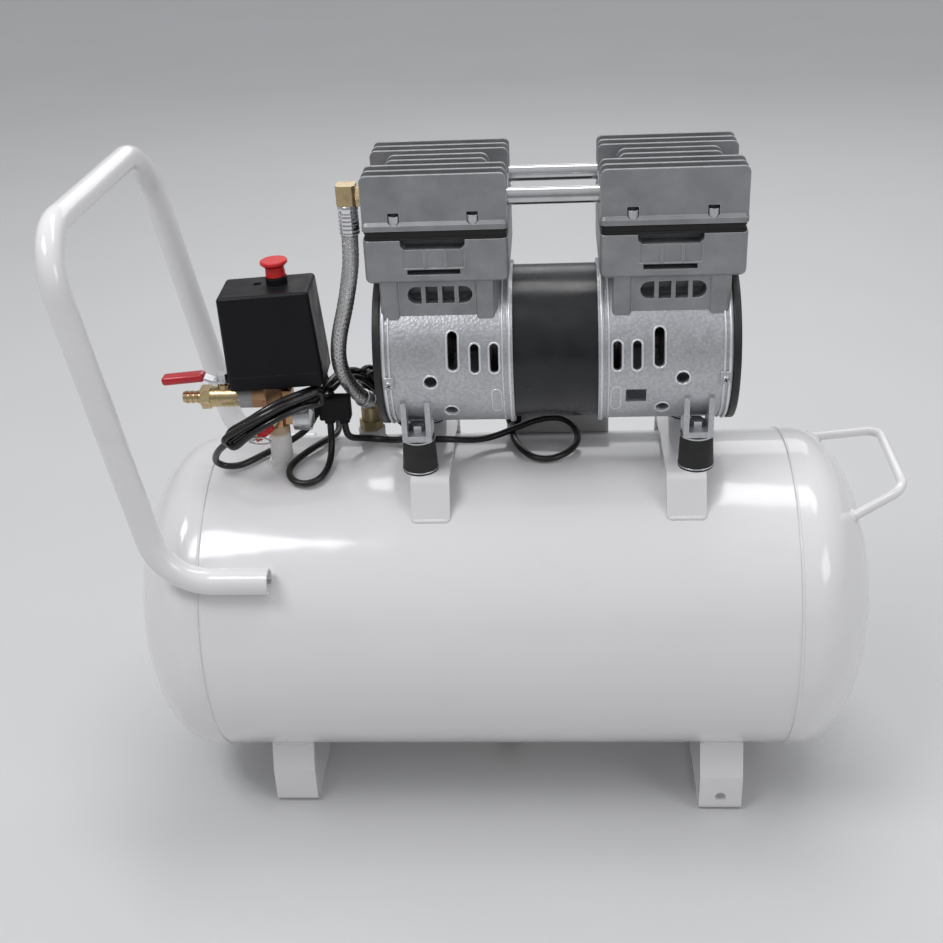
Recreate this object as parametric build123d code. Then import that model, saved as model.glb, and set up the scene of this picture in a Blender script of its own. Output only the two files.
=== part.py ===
"""Oil-free twin-cylinder air compressor on a horizontal tank.

Frame: millimetres, +Z up, +X along the tank towards the carry-handle end, -Y is the
front. The origin is on the floor, at the centre of the four foot bolt holes.
Each sub-part is one STEP file in parts/, named after its node.
"""

import os
from math import cos, pi, radians, sin, tan

from build123d import *

# ---------------------------------------------------------------- tank
TANK_R = 130.0          # outside radius of the rolled shell
TANK_WALL = 2.0
TANK_Z = 162.5          # height of the tank's axis
SHELL_HALF = 228.0      # half the length between the two seams
END_R = 130.8           # outside radius of the dished ends' skirts
END_SKIRT = 10.0
END_DEPTH = 60.0        # depth of the elliptical dish
END_WALL = 2.4

# ---------------------------------------------------------------- feet
FOOT_X = 178.0
FOOT_WIDTH = 35.0
FOOT_T = 4.0
FOOT_HALF_DEPTH = 91.0  # from the foot's middle to its upright legs
FOOT_BEND_Z = 35.0      # where the upright leg starts to lean towards the tank
FOOT_SHIFT = 5.0        # the two feet are welded this far off centre, opposite ways
FOOT_HOLE_R = 5.0
FOOT_HOLE_Y = 70.0
LEG_HOLE_R = 4.5
LEG_HOLE_Z = 15.0

# ---------------------------------------------------------------- handles
TUBE_R = 10.0           # tow handle tube
TUBE_WALL = 1.5
ROD_R = 3.8             # carry handle rod

# ---------------------------------------------------------------- motor and pump
MOTOR_X = 47.4          # middle of the motor
MOTOR_Z = 386.0         # motor axis
SHELL_R = 58.0          # black stator shell
SHELL_LEN = 62.0
BELL_R = 60.0           # cast end bells
BELL_WALL = 3.0
BELL_END = 127.4        # from the middle of the motor to the end of a bell
END_RING_T = 6.0
END_RING_R = 61.5
WEB_X = 50.0            # bearing web, from the middle of the motor
WEB_T = 6.0
SHAFT_R = 7.5
STATOR_LEN = 46.0
ROTOR_R = 31.0
AIR_GAP = 0.5
BEARING_R = 17.5
BEARING_W = 12.0

CYL_X = 83.5            # cylinder axes, from the middle of the motor
BORE_R = 26.5
PISTON_GAP = 0.35
CRANK_E = 8.0           # eccentric throw, half the stroke
ECC_R = 13.0
ECC_T = 10.0
BIG_END_R = 30.0        # inside radius of the rod's big end, open for the whole throw
BIG_END_WALL = 4.0
HEAD_W = 103.0
HEAD_D = 100.0
NECK_W = 85.0
NECK_D = 90.0
BLOCK_Z0 = 452.0
BLOCK_Z1 = 484.0
GASKET_T = 2.0
PLATE_T = 3.0
COVER_Z0 = BLOCK_Z1 + 2 * GASKET_T + PLATE_T
LEDGE_T = 6.0
COVER_Z1 = 530.0
FIN_T = 2.6
FIN_COUNT = 8
PORT_Z = 508.0          # height of the two transfer pipes
PORT_Y = 28.8
PIPE_R = 6.2

# ---------------------------------------------------------------- motor mounting
MOUNT_X = 105.0         # rubber mounts, from the middle of the motor
MOUNT_Y = 45.0
SADDLE_X = 97.0
SADDLE_W = 30.0
SADDLE_T = 4.0
SADDLE_TOP = 300.5
RUBBER_H = 28.0
LUG_T = 4.5

# ---------------------------------------------------------------- air fittings
RISER_X = -171.5
RISER_Y = -14.0
RISER_R = 8.8
RISER_TOP = 326.0
PIPE_WALL = 2.3
PORT_R = 6.0            # bore of the threaded bosses in the tank
BUNG_TOP = 298.0
LINE_Z = 350.0          # axis of the manifold and of the ball valve
STEM_X = -210.5         # ball valve stem
CHECK_X = -105.0
CHECK_Y = 33.0
HOSE_R = 6.2

# ---------------------------------------------------------------- pressure switch
SWITCH_X = -166.5       # centre of the switch at its underside
SWITCH_Y = -7.0
SWITCH_Z = 363.1
SWITCH_LEAN = -2.6      # degrees about Y
SWITCH_YAW = 1.9        # degrees about Z
SWITCH_W = 73.5
SWITCH_D = 46.5
SWITCH_BASE_H = 11.0
SWITCH_COVER_H = 64.0
COVER_TAPER = 4.0       # the cover is this much narrower at its top
COVER_WALL = 2.0
KNOB_AT = (8.5, 2.0)    # from the middle of the cover's top

# ---------------------------------------------------------------- cords
CORD_R = 2.7
HANK_R = 8.5
BRIDGE_R = 5.5
BUNDLE_R = 11.0

MOTOR_MID = Pos(MOTOR_X, 0, MOTOR_Z)


def along_x(radius, length, x=0.0, y=0.0, z=0.0):
    """A solid cylinder centred on (x, y, z) with its axis along X."""
    return Pos(x, y, z) * Rot(0, 90, 0) * Cylinder(radius, length)


def along_y(radius, length, x=0.0, y=0.0, z=0.0):
    """A solid cylinder centred on (x, y, z) with its axis along Y."""
    return Pos(x, y, z) * Rot(90, 0, 0) * Cylinder(radius, length)


def upright(radius, z0, z1, x=0.0, y=0.0):
    """A solid upright cylinder from z0 to z1."""
    return Pos(x, y, (z0 + z1) / 2) * Cylinder(radius, z1 - z0)


def block(x0, x1, y0, y1, z0, z1):
    """An axis-aligned box between two corners."""
    middle = Pos((x0 + x1) / 2, (y0 + y1) / 2, (z0 + z1) / 2)
    return middle * Box(x1 - x0, y1 - y0, z1 - z0)


def hexagon(across_flats, z0, z1, x=0.0, y=0.0):
    """An upright hexagonal prism."""
    face = RegularPolygon(across_flats / 2, 6, major_radius=False)
    return Pos(x, y, z0) * extrude(face, z1 - z0)


def hexagon_x(across_flats, x0, x1, y, z):
    """A hexagonal prism along X, with a flat on top."""
    face = RegularPolygon(across_flats / 2, 6, major_radius=False, rotation=30)
    return Pos(x0, y, z) * Rot(0, 90, 0) * extrude(face, x1 - x0)


def tank_body(extra=0.0):
    """A solid the size of the tank's shell, used to trim what is welded to it."""
    return along_x(TANK_R + extra, 2 * SHELL_HALF + 20, 0, 0, TANK_Z)


def strap(points, x, width, thickness, bend):
    """A flat strap bent in the YZ plane; points are (y, z) along its middle."""
    path = FilletPolyline(*[(x, y, z) for y, z in points], radius=bend)
    start = Plane(origin=path @ 0, x_dir=(1, 0, 0), z_dir=path % 0)
    return sweep(start * Rectangle(width, thickness), path=path)


def corner_radii(points):
    """Largest tangent arcs for a cord's route: 0.45 of the shorter run at each corner."""
    radii = []
    for before, here, after in zip(points, points[1:], points[2:]):
        a = Vector(*here) - Vector(*before)
        b = Vector(*after) - Vector(*here)
        turn = radians(a.get_angle(b))
        radii.append(0.45 * min(a.length, b.length) / tan(turn / 2))
    return radii


def tube_along(points, radius, bore=0.0, bends=None):
    """A round tube along straight runs joined by tangent arcs."""
    path = FilletPolyline(*points, radius=bends if bends is not None else corner_radii(points))
    start = Plane(origin=path @ 0, z_dir=path % 0)
    section = start * Circle(radius)
    if bore:
        section -= start * Circle(bore)
    return sweep(section, path=path), path.length


# ================================================================= tank

DRAIN_Z = TANK_Z - TANK_R


def tank_shell():
    shell = tank_body() - along_x(TANK_R - TANK_WALL, 3 * SHELL_HALF, 0, 0, TANK_Z)
    shell &= block(-SHELL_HALF, SHELL_HALF, -TANK_R - 5, TANK_R + 5, 0, 2 * TANK_Z)
    shell -= upright(RISER_R - PIPE_WALL, TANK_Z, 320, RISER_X, RISER_Y)
    shell -= upright(PORT_R, TANK_Z, 320, CHECK_X, CHECK_Y)
    return shell - upright(PORT_R, 10, TANK_Z)


def dish_solid(radius, depth, start_x):
    """A solid of revolution about X: a cylinder from start_x, closed by an elliptical dish."""
    skirt_x = SHELL_HALF + END_SKIRT
    dish = EllipticalCenterArc((skirt_x, 0), depth, radius, start_angle=0, arc_size=90)
    edges = [
        dish,
        Line((skirt_x, radius), (start_x, radius)),
        Line((start_x, radius), (start_x, 0)),
        Line((start_x, 0), (skirt_x + depth, 0)),
    ]
    return Pos(0, 0, TANK_Z) * revolve(make_face(edges), Axis.X, 360)


def tank_end(side):
    """One dished end: a short skirt and an elliptical dish, butted against the shell."""
    outside = dish_solid(END_R, END_DEPTH, SHELL_HALF)
    inside = dish_solid(END_R - END_WALL, END_DEPTH - END_WALL, SHELL_HALF)
    end = outside - inside
    return end if side > 0 else mirror(end, Plane.YZ)


def tank_bungs():
    """Fittings welded to the shell: the riser pipe and two threaded bosses."""
    pipe = upright(RISER_R, 270, RISER_TOP, RISER_X, RISER_Y)
    pipe += upright(RISER_R + 1.5, 270, 295.5, RISER_X, RISER_Y)
    pipe -= upright(RISER_R - PIPE_WALL, 260, 400, RISER_X, RISER_Y)
    check = upright(11.0, 270, BUNG_TOP, CHECK_X, CHECK_Y)
    check -= upright(PORT_R, 260, 300, CHECK_X, CHECK_Y)
    drain = upright(11.0, 22, 50) - upright(PORT_R, 10, 60)
    trim = tank_body()
    return Compound(children=[(boss - trim).solids()[0] for boss in (pipe, check, drain)])


def foot(side):
    """U-shaped strap foot with leaning upper legs."""
    shift = -side * FOOT_SHIFT
    half = FOOT_HALF_DEPTH - FOOT_T / 2
    top_y = 76.0
    top_z = 72.0
    lower = FOOT_T / 2
    points = [
        (shift - top_y, top_z),
        (shift - half, FOOT_BEND_Z),
        (shift - half, lower),
        (shift + half, lower),
        (shift + half, FOOT_BEND_Z),
        (shift + top_y, top_z),
    ]
    body = strap(points, side * FOOT_X, FOOT_WIDTH, FOOT_T, 5.0) - tank_body()
    for y in (-FOOT_HOLE_Y, FOOT_HOLE_Y):
        body -= upright(FOOT_HOLE_R, -5, 10, side * FOOT_X, y)
    if side > 0:
        body -= along_y(LEG_HOLE_R, 20, side * FOOT_X, shift - half, LEG_HOLE_Z)
    return body


def saddle(side):
    """Inverted U strap over the tank that carries one end of the motor."""
    x = MOTOR_X + side * SADDLE_X
    top = SADDLE_TOP - SADDLE_T / 2
    points = [(-76, 258), (-60, top), (60, top), (76, 258)]
    body = strap(points, x, SADDLE_W, SADDLE_T, 5.0) - tank_body()
    for y in (-MOUNT_Y, MOUNT_Y):
        body -= upright(BOLT_HOLE_R, 280, 310, MOTOR_X + side * MOUNT_X, y)
    return body


def tow_handle():
    """Bent tube welded along both flanks of the tank, used to tip and pull it."""
    run_y = 114.0
    run_z = TANK_Z + 80.0
    points = [
        (-170, -run_y, run_z),
        (-250, -run_y, run_z),
        (-293, -118, 515),
        (-289, 118, 515),
        (-238, run_y, run_z),
        (-170, run_y, run_z),
    ]
    tube, _ = tube_along(points, TUBE_R, TUBE_R - TUBE_WALL, [45, 42, 42, 45])
    left_end = mirror(dish_solid(END_R, END_DEPTH, 0), Plane.YZ)
    return tube - tank_body() - left_end


def side_handle():
    """Bent rod welded to the dished end."""
    points = [
        (255, 42, 278),
        (310, 43, 283),
        (311, -47, 278),
        (272, -47, 252),
    ]
    rod, _ = tube_along(points, ROD_R, 0, [12, 12])
    return rod - dish_solid(END_R, END_DEPTH, 0)


def drain_valve_body():
    body = hexagon(14, DRAIN_Z - 20, DRAIN_Z - 10.5)
    body += upright(PORT_R - 0.1, DRAIN_Z - 12, DRAIN_Z + 8)
    return body - upright(2.5, 0, 60)


def drain_valve_tap():
    """Winged screw under the drain valve."""
    top = DRAIN_Z - 20
    screw = upright(4.5, top - 5, top)
    wings = block(-9, 9, -1.5, 1.5, top - 7, top - 1)
    stem = upright(2.45, top, top + 10)
    return screw + wings + stem


# ================================================================= motor

STATOR_SLOTS = 12


def motor_shell():
    x = MOTOR_X
    return along_x(SHELL_R, SHELL_LEN, x, 0, MOTOR_Z) - along_x(SHELL_R - 3, 80, x, 0, MOTOR_Z)


def stator_core():
    core = along_x(SHELL_R - 3, STATOR_LEN, MOTOR_X, 0, MOTOR_Z)
    core -= along_x(ROTOR_R + AIR_GAP, 60, MOTOR_X, 0, MOTOR_Z)
    slot = Pos(0, 0, 40) * Box(60, 4, 12)
    for index in range(STATOR_SLOTS):
        turn = Rot(360 / STATOR_SLOTS * index, 0, 0)
        core -= MOTOR_MID * turn * slot
    return core


def stator_windings():
    """End turns of the windings, one ring at each end of the core."""
    rings = []
    for side in (-1, 1):
        x = MOTOR_X + side * (STATOR_LEN / 2 + 7)
        ring = along_x(51.5, 14, x, 0, MOTOR_Z) - along_x(34.5, 20, x, 0, MOTOR_Z)
        rings.append(fillet(ring.edges(), 5.0))
    return Compound(children=rings)


def slot_cutter(x, low, high, width):
    """Cuts an upright slot in the front of a bell; low and high are angles above the axis."""
    z0 = BELL_R * sin(radians(low))
    z1 = BELL_R * sin(radians(high))
    tall = z1 - z0 - width
    bar = Box(width, 30, tall)
    ends = along_y(width / 2, 30, 0, 0, tall / 2) + along_y(width / 2, 30, 0, 0, -tall / 2)
    return Pos(x, -BELL_R + 8, (z0 + z1) / 2) * (bar + ends)


# upright vents, front and back: place along X, lower and upper angle, width; the long
# one is the furthest out
VENTS = ((74.8, 2, 30, 7), (58.8, 0, 21, 6), (44.6, 0, 21, 6))
# round holes in the front: place along X and angle below the axis
BELL_HOLES = ((91.9, 6.5), (78.2, 35.0))
BELL_HOLE_R = 4.6
WINDOW_X = 58.5
WINDOW_DROP = 22.0      # degrees below the axis
LUG_HALF_X = 11.0
LUG_HALF_Y = 12.0
LUG_RIB_T = 4.0
BOLT_HOLE_R = 3.3


def bell(side):
    """Cast end bell: crank chamber, bearing web, cylinder seat, vents and two feet."""
    inner_face = SHELL_LEN / 2
    length = BELL_END - inner_face
    middle = inner_face + length / 2
    body = along_x(BELL_R, length, middle)
    body -= along_x(BELL_R - BELL_WALL, length + 2, middle)
    rim = along_x(SHELL_R + 3.5, 4, inner_face + 2) - along_x(SHELL_R - 3, 10, inner_face)
    web = along_x(BELL_R - 1, WEB_T, WEB_X) - along_x(BEARING_R, 40, WEB_X)
    boss = along_x(BEARING_R + 5, BEARING_W, WEB_X) - along_x(BEARING_R, 40, WEB_X)
    body += rim + web + boss
    body -= upright(BORE_R + 2.5, 30, 80, CYL_X, 0)
    for vent in VENTS:
        front = slot_cutter(*vent)
        body -= front + mirror(front, Plane.XZ)
    for x, drop in BELL_HOLES:
        body -= Rot(drop, 0, 0) * along_y(BELL_HOLE_R, 12, x, -BELL_R + 2, 0)
    if side > 0:
        body -= Rot(WINDOW_DROP, 0, 0) * Pos(WINDOW_X, -BELL_R + 3, 0) * Box(15, 16, 13)
    # feet under the bell, down to the rubber mounts
    lug_z0 = SADDLE_TOP + RUBBER_H - MOTOR_Z
    lug_z1 = lug_z0 + LUG_T
    for y in (-MOUNT_Y, MOUNT_Y):
        x0, x1 = MOUNT_X - LUG_HALF_X, MOUNT_X + LUG_HALF_X
        y0, y1 = y - LUG_HALF_Y, y + LUG_HALF_Y
        plate = block(x0, x1, y0, y1, lug_z0, lug_z1)
        ribs = block(x0, x0 + LUG_RIB_T, y0, y1, lug_z0, -25)
        ribs += block(x1 - LUG_RIB_T, x1, y0, y1, lug_z0, -25)
        body += plate + (ribs - along_x(BELL_R - 1, 60, MOUNT_X))
        body -= upright(BOLT_HOLE_R, lug_z0 - 5, lug_z1 + 5, MOUNT_X, y)
    if side < 0:
        body = mirror(body, Plane.YZ)
    return MOTOR_MID * body


def end_rings():
    """Black guards that close the outer ends of both bells."""
    rings = []
    for side in (-1, 1):
        x = side * (BELL_END + END_RING_T / 2)
        guard = along_x(END_RING_R, END_RING_T, x)
        guard = fillet(guard.edges(), 1.5)
        for radius in (20, 32, 44):
            guard -= along_x(radius + 7, 20, x) - along_x(radius, 20, x)
        for index in range(3):
            spoke = Rot(60 * index, 0, 0) * Pos(x, 0, 0) * Box(END_RING_T - 2, 104, 5)
            guard += spoke
        rings.append(MOTOR_MID * guard)
    return Compound(children=[ring.solid() for ring in rings])


def rotor():
    """Squirrel-cage rotor on its shaft."""
    body = along_x(ROTOR_R, STATOR_LEN) + along_x(SHAFT_R - 0.05, 2 * (BELL_END - 6))
    for side in (-1, 1):
        body += along_x(ROTOR_R - 2, 6, side * (STATOR_LEN / 2 + 3))
    return MOTOR_MID * body


def bearings():
    rings = []
    for side in (-1, 1):
        outer = along_x(BEARING_R, BEARING_W, side * WEB_X)
        rings.append(MOTOR_MID * (outer - along_x(SHAFT_R, 30, side * WEB_X)))
    return Compound(children=[ring.solid() for ring in rings])


FAN_X = 114.0
FAN_R = 50.0
FAN_BLADES = 7


def cooling_fans():
    """Axial fans on both ends of the shaft."""
    fans = []
    for side in (-1, 1):
        hub = along_x(13, 12, side * FAN_X)
        disc = along_x(30, 2, side * (FAN_X - 5))
        wheel = hub + disc
        for index in range(FAN_BLADES):
            blade = Pos(side * FAN_X, 0, 30) * Rot(0, 0, 35) * Box(2, 15, 40)
            wheel += Rot(360 / FAN_BLADES * index, 0, 0) * blade
        wheel &= along_x(FAN_R, 14, side * FAN_X)
        wheel -= along_x(SHAFT_R - 0.05, 40, side * FAN_X)
        fans.append((MOTOR_MID * wheel).solid())
    return Compound(children=fans)


def eccentrics():
    """Crank discs with counterweights, thrown opposite ways so the shaft is balanced."""
    discs = []
    for side in (-1, 1):
        x = side * CYL_X
        disc = along_x(ECC_R, ECC_T, x, -side * CRANK_E)
        weight = along_x(24, 6, x + side * 12) & Pos(x, side * 20, 0) * Box(60, 40, 60)
        hub = along_x(12, 20, x + side * 5)
        whole = disc + weight + hub
        whole -= along_x(SHAFT_R - 0.05, 60, x)
        discs.append((MOTOR_MID * whole).solid())
    return Compound(children=discs)


def piston(side):
    """Connecting rod and disc piston in one piece, at the middle of its stroke."""
    crown_z = BLOCK_Z1 - CRANK_E - 1.5 - MOTOR_Z
    ring = along_x(BIG_END_R + BIG_END_WALL, 7, 0) - along_x(BIG_END_R, 20, 0)
    rod = block(-3.5, 3.5, -7, 7, BIG_END_R + 2, crown_z - 4)
    crown = upright(BORE_R - PISTON_GAP, crown_z - 5, crown_z)
    dish = upright(BORE_R - 6, crown_z - 1.5, crown_z + 1)
    body = (ring + rod + crown) - dish
    return Pos(MOTOR_X + side * CYL_X, 0, MOTOR_Z) * body


NOTCH_D = 14.0          # depth of the recesses in the front and the back of a block
PILASTER_W = 14.0


def cylinder_block(side):
    """Cast cylinder: a neck on the bell, and a wider top that the head bolts to."""
    half_w = HEAD_W / 2
    half_d = HEAD_D / 2
    top = block(-half_w, half_w, -half_d, half_d, BLOCK_Z0, BLOCK_Z1)
    upright_edges = top.edges().filter_by(Axis.Z)
    top = fillet(upright_edges, 5.0)
    lower_edges = top.edges().group_by(Axis.Z)[0]
    top = fillet(lower_edges, 4.0)
    neck = block(-NECK_W / 2, NECK_W / 2, -NECK_D / 2, NECK_D / 2, 400, BLOCK_Z0)
    neck = fillet(neck.edges().filter_by(Axis.Z), 5.0)
    body = top + neck
    for x0 in (-NECK_W / 2, NECK_W / 2 - PILASTER_W - 2):
        pilaster = block(x0, x0 + PILASTER_W, -NECK_D / 2 - 2, NECK_D / 2 + 2, 400, BLOCK_Z0 + 1)
        body += fillet(pilaster.edges().filter_by(Axis.Z), 3.0)
    # recess under the gasket and a shallow slot lower down, front and back
    for y in (-half_d, half_d):
        notch = block(-25, 21, y - NOTCH_D, y + NOTCH_D, BLOCK_Z1 - 7, BLOCK_Z1 + 2)
        notch = chamfer(notch.edges().filter_by(Axis.Y).group_by(Axis.Z)[0], 3.0)
        groove = block(-21, 17, y - NOTCH_D, y + NOTCH_D, 458.5, 462.5)
        panel = block(-24, 20, y - 0.9, y + 0.9, 463.5, BLOCK_Z1 - 7)
        for x in (-8.2, 6.7):
            panel -= block(x - 0.8, x + 0.8, y - 5, y + 5, 455, BLOCK_Z1)
        body -= notch + groove + panel
    # barred window into the neck
    window = Pos(1, 0, 441.5) * (Box(34, 30, 13) + along_y(6.5, 30, -17) + along_y(6.5, 30, 17))
    for y in (-1, 1):
        opening = Pos(0, y * NECK_D / 2, 0) * window
        for x in (-11, 1, 13):
            opening -= block(x - 1.5, x + 1.5, -60, 60, 430, 455)
        body -= opening
    body -= upright(BORE_R, 300, 600)
    body -= along_x(BELL_R, 200, 0, 0, MOTOR_Z)
    body = Pos(MOTOR_X + side * CYL_X, 0, 0) * body
    return body


def head_stack(z0, thickness, inset):
    """One layer between a block and its head, for both cylinders."""
    layers = []
    for side in (-1, 1):
        half_w = HEAD_W / 2 - inset
        half_d = HEAD_D / 2 - inset
        plate = block(-half_w, half_w, -half_d, half_d, z0, z0 + thickness)
        plate = fillet(plate.edges().filter_by(Axis.Z), 4.0)
        layers.append(Pos(MOTOR_X + side * CYL_X, 0, 0) * plate)
    return layers


def valve_plates():
    """Steel plates with a ring of small intake holes and a ring of exhaust holes."""
    plates = []
    for side, plate in zip((-1, 1), head_stack(BLOCK_Z1 + GASKET_T, PLATE_T, 1.5)):
        for index in range(6):
            angle = radians(60 * index)
            x = MOTOR_X + side * CYL_X + 14 * cos(angle)
            plate -= upright(2.0, 480, 495, x, 14 * sin(angle))
        plates.append(plate.solid())
    return Compound(children=plates)


def head_gaskets():
    rings = []
    for z0 in (BLOCK_Z1, BLOCK_Z1 + GASKET_T + PLATE_T):
        for side, plate in zip((-1, 1), head_stack(z0, GASKET_T, 1.0)):
            rings.append((plate - upright(BORE_R + 1, 470, 500, MOTOR_X + side * CYL_X, 0)).solid())
    return Compound(children=rings)


SCREW_AT = [(x, y) for x in (-28.5, 27.0) for y in (-45.5, 45.5)]
HEAD_SCREW_R = 2.5
LEDGE_CHAMFER = 2.2
SCREW_POCKET = 6.5      # height of the niches that the screw heads stand in


def head_cover(side):
    """Finned head: a chamfered flange, plain outer faces and eight cooling fins."""
    half_w = HEAD_W / 2
    half_d = HEAD_D / 2
    ledge = block(-half_w, half_w, -half_d, half_d, COVER_Z0, COVER_Z0 + LEDGE_T)
    ledge = fillet(ledge.edges().filter_by(Axis.Z), 4.0)
    ledge = chamfer(ledge.edges().group_by(Axis.Z)[-1], LEDGE_CHAMFER)
    low = COVER_Z0 + LEDGE_T
    root = low + 14
    face_y = half_d - 3.5 + FIN_T / 2
    body = ledge + block(-half_w + 0.5, half_w - 0.5, -face_y, face_y, low - 1, root)
    pitch = (HEAD_D - 7) / (FIN_COUNT - 1)
    for index in range(FIN_COUNT):
        y = -half_d + 3.5 + pitch * index
        short = index in (3, 4)
        reach = half_w - (14 if short else 0.5)
        fin = block(-reach, reach, y - FIN_T / 2, y + FIN_T / 2, root - 1, COVER_Z1)
        ends = fin.edges().filter_by(Axis.Y).group_by(Axis.Z)[-1]
        body += fillet(ends, 6.0 if short else 4.5)
    body -= block(-30, 30, -32, 32, COVER_Z0 - 1, COVER_Z0 + 12)
    for x, y in SCREW_AT:
        body -= upright(HEAD_SCREW_R, 480, low, x, y)
        body -= upright(4.6, low - LEDGE_CHAMFER, low + SCREW_POCKET, x, y)
    for y in (-PORT_Y, PORT_Y):
        body -= along_x(PIPE_R, 14, -side * half_w, y, PORT_Z)
    if side < 0:
        body -= along_x(5.0, 14, -half_w, -PORT_Y, PORT_Z + 3)
    return Pos(MOTOR_X + side * CYL_X, 0, 0) * body


def head_screws():
    """Socket head screws that clamp both heads, four to a head."""
    screws = []
    seat = COVER_Z0 + LEDGE_T - LEDGE_CHAMFER
    for side in (-1, 1):
        for x, y in SCREW_AT:
            at = (MOTOR_X + side * CYL_X + x, y)
            head = upright(4.2, seat, seat + 6.5, *at)
            screw = head + upright(HEAD_SCREW_R, COVER_Z0, seat, *at)
            socket = hexagon(4, seat + 3, seat + 8, *at)
            screws.append((screw - socket).solid())
    return Compound(children=screws)


def transfer_pipes():
    """Two pipes that join the air passages of the heads."""
    x0 = MOTOR_X - CYL_X + HEAD_W / 2 - 7
    x1 = MOTOR_X + CYL_X - HEAD_W / 2 + 7
    pipes = []
    for y in (-PORT_Y, PORT_Y):
        pipe = along_x(PIPE_R, x1 - x0, (x0 + x1) / 2, y, PORT_Z)
        pipes.append((pipe - along_x(PIPE_R - 1.2, 200, MOTOR_X, y, PORT_Z)).solid())
    return Compound(children=pipes)


def rubber_mounts():
    mounts = []
    for x in (-MOUNT_X, MOUNT_X):
        for y in (-MOUNT_Y, MOUNT_Y):
            cone = Pos(MOTOR_X + x, y, SADDLE_TOP + RUBBER_H / 2) * Cone(13.6, 12.2, RUBBER_H)
            cone -= upright(BOLT_HOLE_R, 290, 340, MOTOR_X + x, y)
            mounts.append(cone.solid())
    return Compound(children=mounts)


def mount_bolts():
    """Hexagon bolts with nuts through the feet, the rubbers and the saddles."""
    bolts = []
    top = SADDLE_TOP + RUBBER_H + LUG_T
    under = SADDLE_TOP - SADDLE_T
    for x in (-MOUNT_X, MOUNT_X):
        for y in (-MOUNT_Y, MOUNT_Y):
            at = (MOTOR_X + x, y)
            washer = upright(6.6, top, top + 1.2, *at)
            head = hexagon(10, top + 1.2, top + 5.6, *at)
            shank = upright(3.0, under - 7, top + 2, *at)
            nut = hexagon(10, under - 5, under, *at)
            bolts.append((washer + head + shank + nut).solid())
    return Compound(children=bolts)


def capacitor_box():
    """Grey box behind the motor that holds the run capacitor, seated on the tank."""
    box = block(6, 90, 42, 88, 250, 312) - tank_body(0.2)
    return fillet(box.edges().filter_by(Axis.Z), 4.0)


# ================================================================= air line

def manifold():
    """Brass cross on top of the riser: valve to the left, gauge to the right."""
    y = RISER_Y
    bar = hexagon_x(16, VALVE_X1, RISER_X, y, LINE_Z)
    tee = hexagon(19, RISER_TOP, LINE_Z + 9.5, RISER_X, y)
    gauge_leg = block(RISER_X, GAUGE_X, y - 6, y + 6, GAUGE_Z - 6, LINE_Z + 6)
    body = bar + tee + gauge_leg
    body -= along_x(4.0, RISER_X - VALVE_X1, (RISER_X + VALVE_X1) / 2, y, LINE_Z)
    return body - upright(4.0, RISER_TOP, LINE_Z, RISER_X, y)


VALVE_X0 = -229.0
VALVE_X1 = -199.0


def ball_valve_body():
    y = RISER_Y
    body = along_x(8.2, VALVE_X1 - VALVE_X0 - 7, (VALVE_X0 + VALVE_X1 + 7) / 2, y, LINE_Z)
    body += hexagon_x(16.5, VALVE_X0, VALVE_X0 + 7.5, y, LINE_Z)
    body += upright(5.0, LINE_Z, LINE_Z + 11, STEM_X, y)
    body -= along_x(4.0, 60, STEM_X, y, LINE_Z)
    body -= Pos(STEM_X, y, LINE_Z) * Sphere(6.3)
    return body - upright(3.05, LINE_Z, LINE_Z + 20, STEM_X, y)


def ball_valve_ball():
    """Bored ball with its stem."""
    y = RISER_Y
    ball = Pos(STEM_X, y, LINE_Z) * Sphere(6.0) - along_x(3.5, 20, STEM_X, y, LINE_Z)
    return ball + upright(3.0, LINE_Z + 4.5, LINE_Z + 13.2, STEM_X, y)


LEVER_Z = LINE_Z + 13.2
LEVER_PAD_R = 6.5


def ball_valve_lever():
    """Pressed steel lever with the nut that holds it on the stem."""
    y = RISER_Y
    path = FilletPolyline(
        (STEM_X + LEVER_PAD_R - 2, y, LEVER_Z + 1),
        (STEM_X - 8, y, LEVER_Z + 1),
        (STEM_X - 15, y, LEVER_Z + 4),
        (STEM_X - 47, y, LEVER_Z + 1.5),
        radius=4,
    )
    start = Plane(origin=path @ 0, x_dir=(0, 1, 0), z_dir=path % 0)
    plate = sweep(start * Rectangle(9, 2), path=path)
    pad = upright(LEVER_PAD_R, LEVER_Z, LEVER_Z + 2, STEM_X, y)
    nut = hexagon(9, LEVER_Z + 2, LEVER_Z + 7, STEM_X, y)
    return plate + pad + nut


def lever_grip():
    """Red dipped sleeve over the end of the lever."""
    y = RISER_Y
    sleeve = Pos(STEM_X - 31, y, LEVER_Z + 3.2) * Rot(0, -5, 0) * Box(34, 11.5, 7)
    sleeve = fillet(sleeve.edges(), 2.8)
    return sleeve - ball_valve_lever()


def hose_barb():
    """Brass hose tail screwed in the ball valve's outlet."""
    y = RISER_Y
    body = along_x(4.4, 14, VALVE_X0 - 7, y, LINE_Z)
    for index in range(3):
        x = VALVE_X0 - 4.5 - 4.2 * index
        body += Pos(x, y, LINE_Z) * Rot(0, -90, 0) * Cone(5.2, 4.2, 3.6)
    body += along_x(3.95, 10, VALVE_X0 + 5, y, LINE_Z)
    return body - along_x(2.4, 80, VALVE_X0, y, LINE_Z)


SAFETY_AT = Vector(-169.5, -21.5, 335.5)
SAFETY_DIR = Vector(-0.70, -0.61, -0.37).normalized()
RING_R = 8.5


def safety_frame(distance):
    """A plane across the safety valve's axis at a distance from its seat."""
    return Plane(origin=SAFETY_AT + SAFETY_DIR * distance, z_dir=SAFETY_DIR)


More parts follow.
